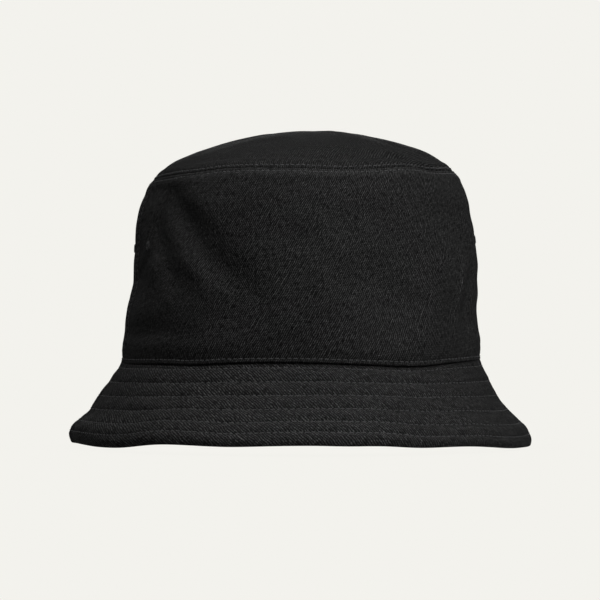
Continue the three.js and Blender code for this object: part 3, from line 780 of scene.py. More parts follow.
def shell(name, face, back, uv, closed, material):
    """A closed sheet of cloth between a face grid and a back grid, both (rows, columns, 3). uv is (rows, columns, 2) in mm of cloth."""
    rows, cols = face.shape[:2]
    idx = np.arange(rows * cols).reshape(rows, cols)
    off = rows * cols
    if closed:
        nxt = np.roll(idx, -1, 1)
    else:
        nxt = idx[:, 1:]
        idx_l = idx[:, :-1]
    left = idx if closed else idx_l
    f = np.stack([left[:-1], nxt[:-1], nxt[1:], left[1:]], -1).reshape(-1, 4)
    bk = np.stack([left[:-1], left[1:], nxt[1:], nxt[:-1]], -1).reshape(-1, 4) + off
    e0 = np.stack([nxt[0], left[0], left[0] + off, nxt[0] + off], -1)
    e1 = np.stack([left[-1], nxt[-1], nxt[-1] + off, left[-1] + off], -1)
    parts = [f, bk, e0, e1]
    if not closed:
        parts.append(np.stack([idx[:-1, 0], idx[1:, 0], idx[1:, 0] + off, idx[:-1, 0] + off], -1))
        parts.append(np.stack([idx[1:, -1], idx[:-1, -1], idx[:-1, -1] + off, idx[1:, -1] + off], -1))
    quads = np.concatenate(parts)
    verts = np.concatenate([face.reshape(-1, 3), back.reshape(-1, 3)])
    uvs = np.concatenate([uv.reshape(-1, 2), uv.reshape(-1, 2)])
    if closed:
        ob = build(name, verts, quads, uv=None)
        # the seam column of a closed ring reads its uv past the end instead of jumping back
        mesh = ob.data
        layer = mesh.uv_layers.new(name=GREY)
        n = len(mesh.loops)
        vi = np.zeros(n, np.int32)
        mesh.loops.foreach_get("vertex_index", vi)
        out = uvs[vi].copy()
        col = (vi % off) % cols
        starts = np.zeros(len(mesh.polygons), np.int32)
        mesh.polygons.foreach_get("loop_start", starts)
        poly = np.repeat(np.arange(len(starts)), np.diff(np.append(starts, n)))
        has_last = np.zeros(len(starts), bool)
        np.logical_or.at(has_last, poly, col == cols - 1)
        wrap = has_last[poly] & (col == 0)
        step = uv[:, -1] - uv[:, -2]
        row = (vi % off) // cols
        out[wrap] = uv[row[wrap], -1] + step[row[wrap]]
        layer.data.foreach_set("uv", out.astype(np.float32).ravel())
    else:
        ob = build(name, verts, quads, uv=uvs)
    ob.data.materials.append(material)
    return ob


def tube(paths, name, material, sides=6):
    """One object from several tubes. Each path is (points, normals, half width, half height, closed)."""
    vv, qq, tr, uu = [], [], [], []
    base = 0
    for pts, nrm, hw, hh, closed in paths:
        n = len(pts)
        if closed:
            tan = np.roll(pts, -1, 0) - np.roll(pts, 1, 0)
        else:
            tan = np.gradient(pts, axis=0)
        tan /= np.linalg.norm(tan, axis=1, keepdims=True) + 1e-12
        nrm = nrm - tan * np.einsum("ij,ij->i", nrm, tan)[:, None]
        nrm /= np.linalg.norm(nrm, axis=1, keepdims=True) + 1e-12
        bi = np.cross(tan, nrm)
        ang = np.arange(sides) / sides * TAU
        hw_ = np.broadcast_to(np.asarray(hw, float), (n,))[:, None, None]
        hh_ = np.broadcast_to(np.asarray(hh, float), (n,))[:, None, None]
        ring = (
            pts[:, None]
            + bi[:, None] * np.cos(ang)[None, :, None] * hw_
            + nrm[:, None] * np.sin(ang)[None, :, None] * hh_
        )
        idx = np.arange(n * sides).reshape(n, sides) + base
        nx = np.roll(idx, -1, 1)
        if closed:
            a, b_ = idx, np.roll(idx, -1, 0)
            an, bn = nx, np.roll(nx, -1, 0)
        else:
            a, b_, an, bn = idx[:-1], idx[1:], nx[:-1], nx[1:]
        qq.append(np.stack([a, b_, bn, an], -1).reshape(-1, 4))
        vv.append(ring.reshape(-1, 3))
        run = np.concatenate([[0], np.cumsum(np.linalg.norm(np.diff(pts, axis=0), axis=1))])
        uu.append(
            np.stack(
                [np.repeat(run[:, None], sides, 1), np.repeat((ang / TAU)[None], n, 0)], -1
            ).reshape(-1, 2)
        )
        base += n * sides
        if not closed:
            for end, last_ in ((0, False), (n - 1, True)):
                vv.append(pts[end : end + 1])
                uu.append(np.array([[run[end], 0.5]]))
                r0 = idx[end]
                r1 = np.roll(r0, -1)
                cc = np.full(sides, base)
                tr.append(np.stack([r0, r1, cc] if last_ else [r1, r0, cc], -1))
                base += 1
    ob = build(
        name,
        np.concatenate(vv),
        np.concatenate(qq),
        np.concatenate(tr) if tr else (),
        uv=np.concatenate(uu),
        sharp=None,
    )
    ob.data.materials.append(material)
    return ob


# ------------------------------------------------------------------ materials
def node(nt, kind, x=0, y=0, **inputs):
    n = nt.nodes.new(kind)
    n.location = (x, y)
    for k, v in inputs.items():
        n.inputs[k.replace("_", " ")].default_value = v
    return n


def math_node(nt, op, a, c=None, d=None, clamp=False):
    n = nt.nodes.new("ShaderNodeMath")
    n.operation = op
    n.use_clamp = clamp
    for i, x in enumerate((a, c, d)):
        if x is None:
            continue
        if isinstance(x, (int, float)):
            n.inputs[i].default_value = x
        else:
            nt.links.new(x, n.inputs[i])
    return n.outputs[0]


def cloth_material(
    name, base, angle=66.0, rib=1.02, contrast=0.42, bump=0.16, rough=0.64, sheen=0.0, plain=False, flecks=0.35, mottle=0.14, speckle=0.0
):
    """Woven cotton. The uv map holds millimetres of cloth, with u across and v up the panel; angle is the twill line's slope."""
    mat = bpy.data.materials.new(name)
    mat.use_nodes = True
    nt = mat.node_tree
    nt.nodes.clear()
    out = nt.nodes.new("ShaderNodeOutputMaterial")
    p = nt.nodes.new("ShaderNodeBsdfPrincipled")
    nt.links.new(p.outputs[0], out.inputs[0])
    uv = nt.nodes.new("ShaderNodeUVMap")
    uv.uv_map = GREY
    sep = nt.nodes.new("ShaderNodeSeparateXYZ")
    # yarns are never quite straight: a slow and a quick wobble
    wob = node(nt, "ShaderNodeTexNoise", Scale=0.22, Detail=2.0)
    wob2 = node(nt, "ShaderNodeTexNoise", Scale=1.3, Detail=1.0)
    nt.links.new(uv.outputs[0], wob.inputs["Vector"])
    nt.links.new(uv.outputs[0], wob2.inputs["Vector"])
    nt.links.new(uv.outputs[0], sep.inputs[0])
    u, v = sep.outputs[0], sep.outputs[1]
    w1 = math_node(nt, "MULTIPLY_ADD", wob.outputs[0], 1.5, -0.75)
    w2 = math_node(nt, "MULTIPLY_ADD", wob2.outputs[0], 0.36, -0.18)
    w = math_node(nt, "ADD", w1, w2)
    ca, sa = math.cos(math.radians(angle)), math.sin(math.radians(angle))
    # q runs across the twill lines, s along them
    q = math_node(nt, "ADD", math_node(nt, "MULTIPLY", u, -sa), math_node(nt, "MULTIPLY_ADD", v, ca, w))
    s = math_node(nt, "ADD", math_node(nt, "MULTIPLY", u, ca), math_node(nt, "MULTIPLY", v, sa))
    if plain:
        a = math_node(nt, "SINE", math_node(nt, "MULTIPLY", u, TAU / rib))
        c = math_node(nt, "SINE", math_node(nt, "MULTIPLY", v, TAU / rib))
        height = math_node(nt, "MULTIPLY_ADD", math_node(nt, "MULTIPLY", a, c), 0.5, 0.5)
    else:
        line = math_node(nt, "SINE", math_node(nt, "MULTIPLY", q, TAU / rib))
        line = math_node(nt, "MULTIPLY_ADD", line, 0.5, 0.5)
        line = math_node(nt, "POWER", line, 0.7)
        # each twill line is a row of short floats of yarn, stepped from one line to the next
        float_ = math_node(
            nt, "SINE", math_node(nt, "ADD", math_node(nt, "MULTIPLY", s, TAU / (rib * 0.92)), math_node(nt, "MULTIPLY", q, math.pi / rib))
        )
        float_ = math_node(nt, "MULTIPLY_ADD", float_, 0.16, 0.84)
        height = math_node(nt, "MULTIPLY", line, float_)
    fuzz = node(nt, "ShaderNodeTexNoise", Scale=2.0, Detail=3.0, Roughness=0.75)
    nt.links.new(uv.outputs[0], fuzz.inputs["Vector"])
    slow = node(nt, "ShaderNodeTexNoise", Scale=0.045, Detail=4.0, Roughness=0.6)
    nt.links.new(uv.outputs[0], slow.inputs["Vector"])
    patch = node(nt, "ShaderNodeTexNoise", Scale=0.55, Detail=3.0, Roughness=0.65)
    nt.links.new(uv.outputs[0], patch.inputs["Vector"])
    # painted glints and shade: along each line some floats of yarn are painted lighter, as if they catch the light, and
    # some darker, as if they lie low
    seg_v = nt.nodes.new("ShaderNodeCombineXYZ")
    nt.links.new(math_node(nt, "MULTIPLY", q, 0.95 / rib), seg_v.inputs[0])
    nt.links.new(math_node(nt, "MULTIPLY", s, 0.42 / rib), seg_v.inputs[1])
    seg = node(nt, "ShaderNodeTexNoise", Scale=1.0, Detail=1.0)
    nt.links.new(seg_v.outputs[0], seg.inputs["Vector"])
    # painted light and shade of the twill's relief: the rib crests are painted lighter and the valleys between them
    # near black, on top of the bump
    painted_rib_light = math_node(nt, "POWER", height, 1.8)
    shade = math_node(nt, "MULTIPLY_ADD", painted_rib_light, 2.3 * contrast, 1 - 0.94 * contrast)
    shade = math_node(nt, "MULTIPLY", shade, math_node(nt, "MULTIPLY_ADD", seg.outputs[0], 3.8 * contrast, 1 - 1.9 * contrast))
    shade = math_node(nt, "MAXIMUM", shade, 0.08)
    shade = math_node(nt, "MULTIPLY", shade, math_node(nt, "MULTIPLY_ADD", fuzz.outputs[0], 2.2, -0.1))
    shade = math_node(nt, "MULTIPLY", shade, math_node(nt, "MULTIPLY_ADD", slow.outputs[0], mottle * 4, 1 - mottle * 2))
    shade = math_node(nt, "MULTIPLY", shade, math_node(nt, "MULTIPLY_ADD", patch.outputs[0], mottle * 3.2, 1 - mottle * 1.6))
    if speckle:
        grain = node(nt, "ShaderNodeTexNoise", Scale=1.05, Detail=0.0)
        nt.links.new(uv.outputs[0], grain.inputs["Vector"])
        shade = math_node(nt, "MULTIPLY", shade, math_node(nt, "MULTIPLY_ADD", grain.outputs[0], 2 * speckle, 1 - speckle))
        shade = math_node(nt, "MAXIMUM", shade, 0.08)
    fleck = math_node(nt, "MULTIPLY_ADD", fuzz.outputs[0], 8.0, -5.5, clamp=True)
    shade = math_node(nt, "ADD", shade, math_node(nt, "MULTIPLY", fleck, flecks))
    mul = nt.nodes.new("ShaderNodeVectorMath")
    mul.operation = "SCALE"
    mul.inputs[0].default_value = base[:3]
    nt.links.new(shade, mul.inputs["Scale"])
    nt.links.new(mul.outputs[0], p.inputs["Base Color"])
    p.inputs["Roughness"].default_value = rough
    r = math_node(nt, "MULTIPLY_ADD", height, -0.10, rough + 0.05)
    nt.links.new(r, p.inputs["Roughness"])
    p.inputs["Specular IOR Level"].default_value = 0.055
    p.inputs["Sheen Weight"].default_value = sheen
    p.inputs["Sheen Roughness"].default_value = 0.55
    p.inputs["Sheen Tint"].default_value = (0.75, 0.76, 0.78, 1)
    h = math_node(nt, "MULTIPLY_ADD", fuzz.outputs[0], 0.35, height)
    bmp = nt.nodes.new("ShaderNodeBump")
    bmp.inputs["Strength"].default_value = 1.0
    bmp.inputs["Distance"].default_value = bump * MM
    nt.links.new(h, bmp.inputs["Height"])
    nt.links.new(bmp.outputs[0], p.inputs["Normal"])
    return mat


def thread_material(name, base, rough=0.55, twist=0.62, gloss=0.3):
    """Two-ply spun thread: fine slanting plies, a soft shine and a little colour change along it."""
    mat = bpy.data.materials.new(name)
    mat.use_nodes = True
    nt = mat.node_tree
    nt.nodes.clear()
    out = nt.nodes.new("ShaderNodeOutputMaterial")
    p = nt.nodes.new("ShaderNodeBsdfPrincipled")
    nt.links.new(p.outputs[0], out.inputs[0])
    uv = nt.nodes.new("ShaderNodeUVMap")
    uv.uv_map = GREY
    sep = nt.nodes.new("ShaderNodeSeparateXYZ")
    nt.links.new(uv.outputs[0], sep.inputs[0])
    ply = math_node(
        nt, "SINE", math_node(nt, "ADD", math_node(nt, "MULTIPLY", sep.outputs[0], TAU / twist), math_node(nt, "MULTIPLY", sep.outputs[1], TAU * 2))
    )
    ply = math_node(nt, "MULTIPLY_ADD", ply, 0.5, 0.5)
    noise = node(nt, "ShaderNodeTexNoise", Scale=0.8, Detail=2.0)
    nt.links.new(uv.outputs[0], noise.inputs["Vector"])
    # painted shade of the plies: their crowns are painted lighter and the grooves between them darker, along with the
    # bump
    shade = math_node(nt, "MULTIPLY_ADD", ply, 0.5, 0.7)
    shade = math_node(nt, "MULTIPLY", shade, math_node(nt, "MULTIPLY_ADD", noise.outputs[0], 0.7, 0.65))
    mul = nt.nodes.new("ShaderNodeVectorMath")
    mul.operation = "SCALE"
    mul.inputs[0].default_value = base[:3]
    nt.links.new(shade, mul.inputs["Scale"])
    nt.links.new(mul.outputs[0], p.inputs["Base Color"])
    nt.links.new(math_node(nt, "MULTIPLY_ADD", ply, -0.12, rough), p.inputs["Roughness"])
    p.inputs["Specular IOR Level"].default_value = gloss
    p.inputs["Sheen Weight"].default_value = 0.04
    p.inputs["Sheen Roughness"].default_value = 0.4
    bmp = nt.nodes.new("ShaderNodeBump")
    bmp.inputs["Strength"].default_value = 0.8
    bmp.inputs["Distance"].default_value = 0.1 * MM
    nt.links.new(ply, bmp.inputs["Height"])
    nt.links.new(bmp.outputs[0], p.inputs["Normal"])
    return mat


K = 0.0131
twill_side = cloth_material("twill_side", (K, K, K * 0.99), angle=61, rib=0.94, contrast=1.0, bump=0.20, speckle=0.35)
# the tip's copy of the same black twill is painted darker than the sides' (painted shade), to hold down the light that
# falls on it from above
twill_tip_painted_shade = cloth_material("twill_tip_painted_shade", (K * 0.66, K * 0.66, K * 0.65), angle=58, rib=1.0, contrast=1.0, bump=0.20, speckle=0.9)
twill_brim = cloth_material("twill_brim", (K * 0.96, K * 0.96, K * 0.95), angle=126, rib=1.1, contrast=1.0, bump=0.22, speckle=1.4)
twill_under = cloth_material("twill_under", (K * 0.84, K * 0.84, K * 0.84), angle=58, rib=1.1, contrast=0.95, bump=0.16)
band_mat = cloth_material("band_twill", (0.0115,) * 3, angle=45, rib=0.8, contrast=0.4, bump=0.12, sheen=0.04, rough=0.8)
tape_mat = cloth_material("bias_tape", (0.012,) * 3, rib=0.55, plain=True, contrast=0.4, bump=0.1, sheen=0.04)
felt_mat = cloth_material("interlining_felt", (0.09, 0.09, 0.088), rib=0.4, plain=True, contrast=0.12, bump=0.05, sheen=0.1, rough=0.95, mottle=0.2)
label_mat = cloth_material("blank_label_satin", (0.62, 0.61, 0.58), angle=80, rib=0.35, contrast=0.1, bump=0.03, sheen=0.1, rough=0.55, flecks=0.0, mottle=0.02)
thread_mat = thread_material("black_thread", (0.021, 0.021, 0.0215), rough=0.5)
thread_eye = thread_material("eyelet_thread", (0.019, 0.019, 0.0194), rough=0.6, gloss=0.22)


# ------------------------------------------------------------------ sections in (distance, depth)
def rolled(t_edge, direction, reach, steps=7, gap=0.06, depth=0.0):
    """The folded edge of a ply, as (t, depth) for its face and its back. The ply comes along the surface to the edge,
    turns under and runs back for reach mm. direction is +1 if the ply comes from smaller t."""
    r_face, r_back = ROLL, ROLL - CLOTH
    c = t_edge - direction * (r_face + gap)
    face, back = [], []
    for phi in np.linspace(0, math.pi, steps):
        face.append((c + direction * r_face * math.sin(phi), depth + r_face * (1 - math.cos(phi))))
        back.append((c + direction * r_back * math.sin(phi), depth + r_face - r_back * math.cos(phi)))
    for d in np.linspace(0, reach, 5)[1:]:
        face.append((c - direction * d, depth + 2 * r_face))
        back.append((c - direction * d, depth + r_face + r_back))
    return face, back


def spacing(lo, hi, dense, fine, wide):
    """Positions from lo to hi, fine apart near the dense places and wide apart elsewhere."""
    out = [lo]
    while out[-1] < hi:
        d = min(abs(out[-1] - x) for x in dense)
        out.append(out[-1] + fine + (wide - fine) * smooth(np.array((d - 4) / 6.0)))
    out = np.array(out)
    return lo + (out - lo) * (hi - lo) / (out[-1] - lo)


def lay(surface, theta, section):
    """Grid of points for a section of (t, depth) pairs and a row of angles."""
    t = np.array([q[0] for q in section])[:, None]
    d = np.array([q[1] for q in section])[:, None]
    return surface.at(theta[None, :], t, np.broadcast_to(d, (len(section), 1)) + theta[None, :] * 0)


HALF_COLS = 360


def half_angles(back, gap_mm, r):
    """Angles of a half ring between the side seams, closer together at the seams."""
    lo, hi = (0.0, math.pi) if back else (math.pi, TAU)
    g = gap_mm / r
    base = np.linspace(lo + g, hi - g, HALF_COLS + 1)
    extra = np.array([0.25, 0.5, 0.75, 1.1, 1.6, 2.2]) / r
    return np.unique(np.concatenate([base[1:-1], [lo + g, hi - g], lo + g + extra, hi - g - extra]))


def side_uv(theta, section, radius=89.0):
    u = (theta[None, :]) * radius
    t = np.array([q[0] for q in section])[:, None]
    return np.stack(np.broadcast_arrays(u, t), -1)


HAT = "hat"
TOP = "crown_top"
made = []


def keep_on(ob, body, nodes=()):
    """Rides the piece on its body and hides the frame's parts that it stands in for."""
    made.append((ob, body))
    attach(ob, body)
    if nodes:
        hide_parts(*nodes)
    return ob


def crumple(ob):
    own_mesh(ob)


# ---- crown side panels
lo_face, lo_back = rolled(0.0, -1, 7.0, gap=-0.15)
hi_face, hi_back = rolled(L_SIDE, +1, 7.0, gap=-0.12)
mid = spacing(ROLL + 0.06, L_SIDE - ROLL - 0.06, [0.0, L_SIDE], 0.5, 1.15)
side_face = lo_face[::-1] + [(t, 0.0) for t in mid[1:-1]] + hi_face
side_back = lo_back[::-1] + [(t, CLOTH) for t in mid[1:-1]] + hi_back


def punch(ob, where):
    """Cuts the eyelet holes through a panel."""
    for centre, axis in where:
        bpy.ops.mesh.primitive_cylinder_add(vertices=20, radius=1.05 * MM, depth=8 * MM)
        cut = bpy.context.active_object
        cut.location = centre * MM
        cut.rotation_mode = "QUATERNION"
        from mathutils import Vector

        cut.rotation_quaternion = Vector(axis).to_track_quat("Z", "Y")
        bpy.context.view_layer.update()
        m = ob.modifiers.new("hole", "BOOLEAN")
        m.object = cut
        m.operation = "DIFFERENCE"
        m.solver = "EXACT"
        dg = bpy.context.evaluated_depsgraph_get()
        new = bpy.data.meshes.new_from_object(ob.evaluated_get(dg), preserve_all_data_layers=True, depsgraph=dg)
        ob.modifiers.clear()
        old = ob.data
        ob.data = new
        bpy.data.meshes.remove(old)
        bpy.data.objects.remove(cut)


EYE_DEG = math.degrees(math.atan2((abs(eye_lo[1] + eye_hi[1]) / 2) / (HALF_W + OVAL), abs(eye_lo[0] + eye_hi[0]) / 2 / HALF_W))
eyes = {
    "eyelet_right_back": EYE_DEG,
    "eyelet_left_back": 180 - EYE_DEG,
    "eyelet_left_front": 180 + EYE_DEG,
    "eyelet_right_front": 360 - EYE_DEG,
}
EYE_T = float(np.interp(EYELET_Z, prof[: J0 + 1, 1], t_all[: J0 + 1]))


def place_of(deg, t, depth=0.0):
    th = np.array([math.radians(deg)])
    p = crown.at(th, np.array([t]), np.array([depth]))[0]
    n = crown.read(N_CROWN, th, np.array([t]))[0]
    return p, n / np.linalg.norm(n)


for where, back in (("front", False), ("back", True)):
    th = half_angles(back, 0.05, 91.0)
    ob = shell(
        f"side_panel_{where}",
        lay(crown, th, side_face),
        lay(crown, th, side_back),
        side_uv(th, side_face),
        False,
        twill_side,
    )
    punch(ob, [place_of(d, EYE_T, 0.4) for n, d in eyes.items() if n.endswith(where)])
    keep_on(ob, HAT, [f"crown_side_{where}"])

# ---- crown tip
TIP_COLS = 480
tip_th = np.arange(TIP_COLS) / TIP_COLS * TAU
t_face, t_back = rolled(L_SIDE, -1, 7.0)
tip_mid = spacing(L_SIDE + ROLL + 0.06, L_CROWN - 0.6, [L_SIDE], 0.55, 1.5)
tip_face = t_face[::-1] + [(t, 0.0) for t in tip_mid[1:]]
tip_back = t_back[::-1] + [(t, CLOTH) for t in tip_mid[1:]]
face = lay(crown, tip_th, tip_face)
back = lay(crown, tip_th, tip_back)
rows = len(tip_face)
idx = np.arange(rows * TIP_COLS).reshape(rows, TIP_COLS)
nx = np.roll(idx, -1, 1)
off = rows * TIP_COLS
quads = np.concatenate([
    np.stack([idx[:-1], nx[:-1], nx[1:], idx[1:]], -1).reshape(-1, 4),
    np.stack([idx[:-1], idx[1:], nx[1:], nx[:-1]], -1).reshape(-1, 4) + off,
    np.stack([nx[0], idx[0], idx[0] + off, nx[0] + off], -1),
])  # fmt: skip
verts = np.concatenate([face.reshape(-1, 3), back.reshape(-1, 3)])
cf, cb = len(verts), len(verts) + 1
verts = np.concatenate([verts, face[-1].mean(0)[None], back[-1].mean(0)[None]])
tris = np.concatenate([
    np.stack([idx[-1], nx[-1], np.full(TIP_COLS, cf)], -1),
    np.stack([nx[-1] + off, idx[-1] + off, np.full(TIP_COLS, cb)], -1),
])  # fmt: skip
ob = build("tip_panel", verts, quads, tris, uv=verts[:, :2] * 1.03)
ob.data.materials.append(twill_tip_painted_shade)
keep_on(ob, TOP, ["crown_tip"])

# ---- brim plies
COLLAR = 6.5
D_FACE, D_INTER, D_UNDER = 0.0, 0.78, 1.35  # tops of the upper ply, the interlining and the under ply
FELT = 0.42
EDGE_UNDER = 4 * ROLL + 0.1  # depth of the under ply's face at the edge, below both turned allowances
s_mid = spacing(0.0, L_BRIM - ROLL - 0.06, ROWS_S + [0.0, L_BRIM], 0.55, 0.8)


def under_depth(s):
    """Depth of the under ply's outer face."""
    base = D_UNDER + CLOTH
    return base + (EDGE_UNDER - base) * smooth((s - (L_BRIM - 11.0)) / 5.0)


collar_t = np.linspace(COLLAR, 0.6, 8)
u_face, u_back = rolled(L_BRIM, +1, 4.5)


def joint_dip(theta, ds, deep):
    """Fine groove where the front and the back half of the brim are joined."""
    away = np.minimum(np.abs(np.sin(theta)), 1.0) * 104.0
    fade = 1 - smooth((ds - (L_BRIM - 3.5)) / 2.5)
    return deep * fade[:, None] * np.exp(-((away / 0.42) ** 2))[None, :]


def brim_grid(theta, depth_of, ds, collar_depth, tail=(), dip=0.0):
    """Rows: up inside the crown behind its seam allowance, then down the brim's slope, then any tail."""
    d = np.full((len(collar_t), 1), collar_depth)
    a = crown.at(theta[None, :], collar_t[:, None], d + theta[None, :] * 0)
    dep = np.array([depth_of(s) for s in ds])[:, None]
    c = brim.at(theta[None, :], np.array(ds)[:, None], dep + joint_dip(theta, np.array(ds), dip))
    out = [a, c]
    if len(tail):
        out.append(lay(brim, theta, tail))
    return np.concatenate(out)


def brim_uv(theta, n_collar, ds, tail, mirror=False):
    """Flat pattern of the brim: an arc, so the twill line turns as it goes round."""
    s = np.concatenate([-collar_t, ds, [q[0] for q in tail]]) if len(tail) else np.concatenate([-collar_t, ds])
    slope = 0.35  # how far the grain turns against the brim on its way round
    centre = 1.5 * math.pi if theta.mean() > math.pi else 0.5 * math.pi
    rho = 91.0 / slope + s
    phi = (theta - centre) * slope
    x = rho[:, None] * np.sin(phi)[None, :]
    y = -rho[:, None] * np.cos(phi)[None, :]
    return np.stack([-x if mirror else x, y], -1)


for where, is_back in (("front", False), ("back", True)):
    th = half_angles(is_back, 0.0, 104.0)
    ds = s_mid[1:-1]
    # upper ply
    tail_f, tail_b = u_face, u_back
    face = brim_grid(th, lambda s: 0.0, ds, 1.62, tail_f, dip=0.24)
    back = brim_grid(th, lambda s: CLOTH, ds, 1.62 + CLOTH, tail_b, dip=0.24)
    ob = shell(f"brim_top_ply_{where}", face, back, brim_uv(th, 8, ds, tail_f), False, twill_brim)
    keep_on(ob, HAT, [f"brim_upper_{where}"])
    # interlining, in every second column, cut back a little from the joint
    th2 = th[::2] if (len(th) % 2) else np.append(th[::2], th[-1])
    th2 = np.clip(th2, th[0] + 0.9 / 104.0, th[-1] - 0.9 / 104.0)
    th2 = np.unique(th2)
    di = np.linspace(0.8, L_BRIM - 6.0, 60)
    fi = brim.at(th2[None, :], di[:, None], D_INTER + th2[None, :] * 0 + di[:, None] * 0)
    bi_ = brim.at(th2[None, :], di[:, None], D_INTER + FELT + th2[None, :] * 0 + di[:, None] * 0)
    uv2 = np.stack(np.broadcast_arrays(th2[None, :] * 105.0, di[:, None]), -1)
    ob = shell(f"brim_stiffener_{where}", fi, bi_, uv2, False, felt_mat)
    keep_on(ob, HAT, [f"brim_interlining_{where}"])
    # under ply: its outer face looks down, and its edge turns up to meet the upper ply's
    n_turn = 7
    c_edge = L_BRIM - ROLL - 0.06
    low_face = [(c_edge + ROLL * math.sin(p_), EDGE_UNDER - ROLL * (1 - math.cos(p_))) for p_ in np.linspace(0, math.pi, n_turn)]
    low_back = [
        (c_edge + (ROLL - CLOTH) * math.sin(p_), EDGE_UNDER - ROLL + (ROLL - CLOTH) * math.cos(p_))
        for p_ in np.linspace(0, math.pi, n_turn)
    ]
    for d_ in np.linspace(0, 4.5, 5)[1:]:
        low_face.append((c_edge - d_, EDGE_UNDER - 2 * ROLL))
        low_back.append((c_edge - d_, EDGE_UNDER - 2 * ROLL + CLOTH))
    face = brim_grid(th, under_depth, ds, 1.62 + CLOTH + 0.08 + CLOTH, low_face, dip=-0.2)
    back = brim_grid(th, lambda s: under_depth(s) - CLOTH, ds, 1.62 + CLOTH + 0.08, low_back, dip=-0.2)
    # the quilting shows on this side too
    puffs = brim.read(UNDER_QUILT, np.broadcast_to(th[None, :], (len(ds), len(th))), np.broadcast_to(ds[:, None], (len(ds), len(th))))
    nn = brim.read(N_BRIM, np.broadcast_to(th[None, :], (len(ds), len(th))), np.broadcast_to(ds[:, None], (len(ds), len(th))))
    near_edge = smooth((L_BRIM - 9.0 - ds) / 3.0)[:, None]
    a0 = len(collar_t)
    face[a0 : a0 + len(ds)] -= nn * (puffs * near_edge)[..., None] * 0.8
    ob = shell(f"brim_under_ply_{where}", face, back, brim_uv(th, 8, ds, low_face, mirror=True), False, twill_under)
    keep_on(ob, HAT, [f"brim_under_{where}"])


# ------------------------------------------------------------------ topstitching
def stitch_path(surface, t_of, n, phase, lift, dip, per=12, width=0.25, deep=0.0, jitter_seed=0, drift=False):
    """A closed row of lockstitch: the thread lies on the cloth and drops through a needle hole at each stitch's end."""
    m = n * per
    g = np.random.default_rng(900 + jitter_seed)
    k = np.arange(m)
    th = (k / m) * TAU - phase / n
    pos = (k % per) / per
    down = 1 - smooth((np.abs(pos - 0.5) - 0.12) / 0.13)
    side = np.repeat(g.normal(0, 0.05, n), per)
    side = np.convolve(np.concatenate([side[-5:], side, side[:5]]), np.ones(11) / 11, "valid")
    loose = 1 + 0.25 * np.repeat(g.normal(0, 1, n), per)
    t = (row_line(t_of, th) if drift else t_of) + side
    h = lift * np.clip(loose, 0.5, 1.6) * (1 - down) - dip * down
    d = (deep - h) if deep == 0 else (deep + h)
    pts = surface.at(th, t, d)
    nrm = surface.read(surface.n, th, t)
    w = width * (1 - 0.25 * down)
    return pts, nrm, w, w * 0.78, True


def row_piece(name, cad, body, rows_):
    ob = tube(rows_, name, thread_mat)
    keep_on(ob, body, [cad])
    return ob


row_piece("topstitch_crown_hem", "stitch_crown_hem", HAT, [stitch_path(crown, HEM_T, N_HEM, PHASES[0], 0.17, 0.55, width=0.28, jitter_seed=1)])
row_piece("topstitch_tip_lower", "stitch_tip_lower", HAT, [stitch_path(crown, L_SIDE - TIP_GAP, N_TIPLO, PHASES[1], 0.14, 0.55, jitter_seed=2)])
row_piece("topstitch_tip_upper", "stitch_tip_upper", TOP, [stitch_path(crown, L_SIDE + TIP_NEAR, N_TIPUP, PHASES[2], 0.17, 0.55, width=0.28, jitter_seed=3)])
for k, (s0, n) in enumerate(zip(ROWS_S, N_ROWS, strict=True)):
    below = float(under_depth(np.array(s0)))
    row_piece(
        f"quilt_thread_{k + 1}",
        f"stitch_brim_row_{k + 1}",
        HAT,
        [
            stitch_path(brim, s0, n, PHASES[4 + k], 0.09, 0.6, width=0.23, jitter_seed=10 + k, drift=True),
            stitch_path(brim, s0, n, PHASES[4 + k], 0.16, 0.5, deep=below, jitter_seed=20 + k, drift=True),
        ],
    )

# rows beside the side seams
for side_name, centre in (("left", math.pi), ("right", 0.0)):
    for where, sgn in (("front", -1 if centre == 0.0 else 1), ("back", 1 if centre == 0.0 else -1)):
        t0, t1 = 4.6, L_SIDE - 4.4
        n = int((t1 - t0) / PITCH_SIDE)
        per = 12
        k = np.arange(n * per + 1)
        t = t0 + (t1 - t0) * k / (n * per)
        pos = (k % per) / per
        down = 1 - smooth((np.abs(pos - 0.5) - 0.12) / 0.13)
        down[:3] = 1
        down[-3:] = 1
        rr = np.interp(t, t_all, prof[:, 0])
        th = centre + sgn * side_row_gap / rr
        h = 0.14 * (1 - down) - 0.55 * down
        pts = crown.at(th, t, -h)
        nrm = crown.read(N_CROWN, th, t)
        w = 0.27 * (1 - 0.25 * down)
        ob = tube([(pts, nrm, w, w * 0.78, False)], f"topstitch_side_{side_name}_{where}", thread_mat)
        keep_on(ob, HAT, [f"stitch_side_{side_name}_{where}"])

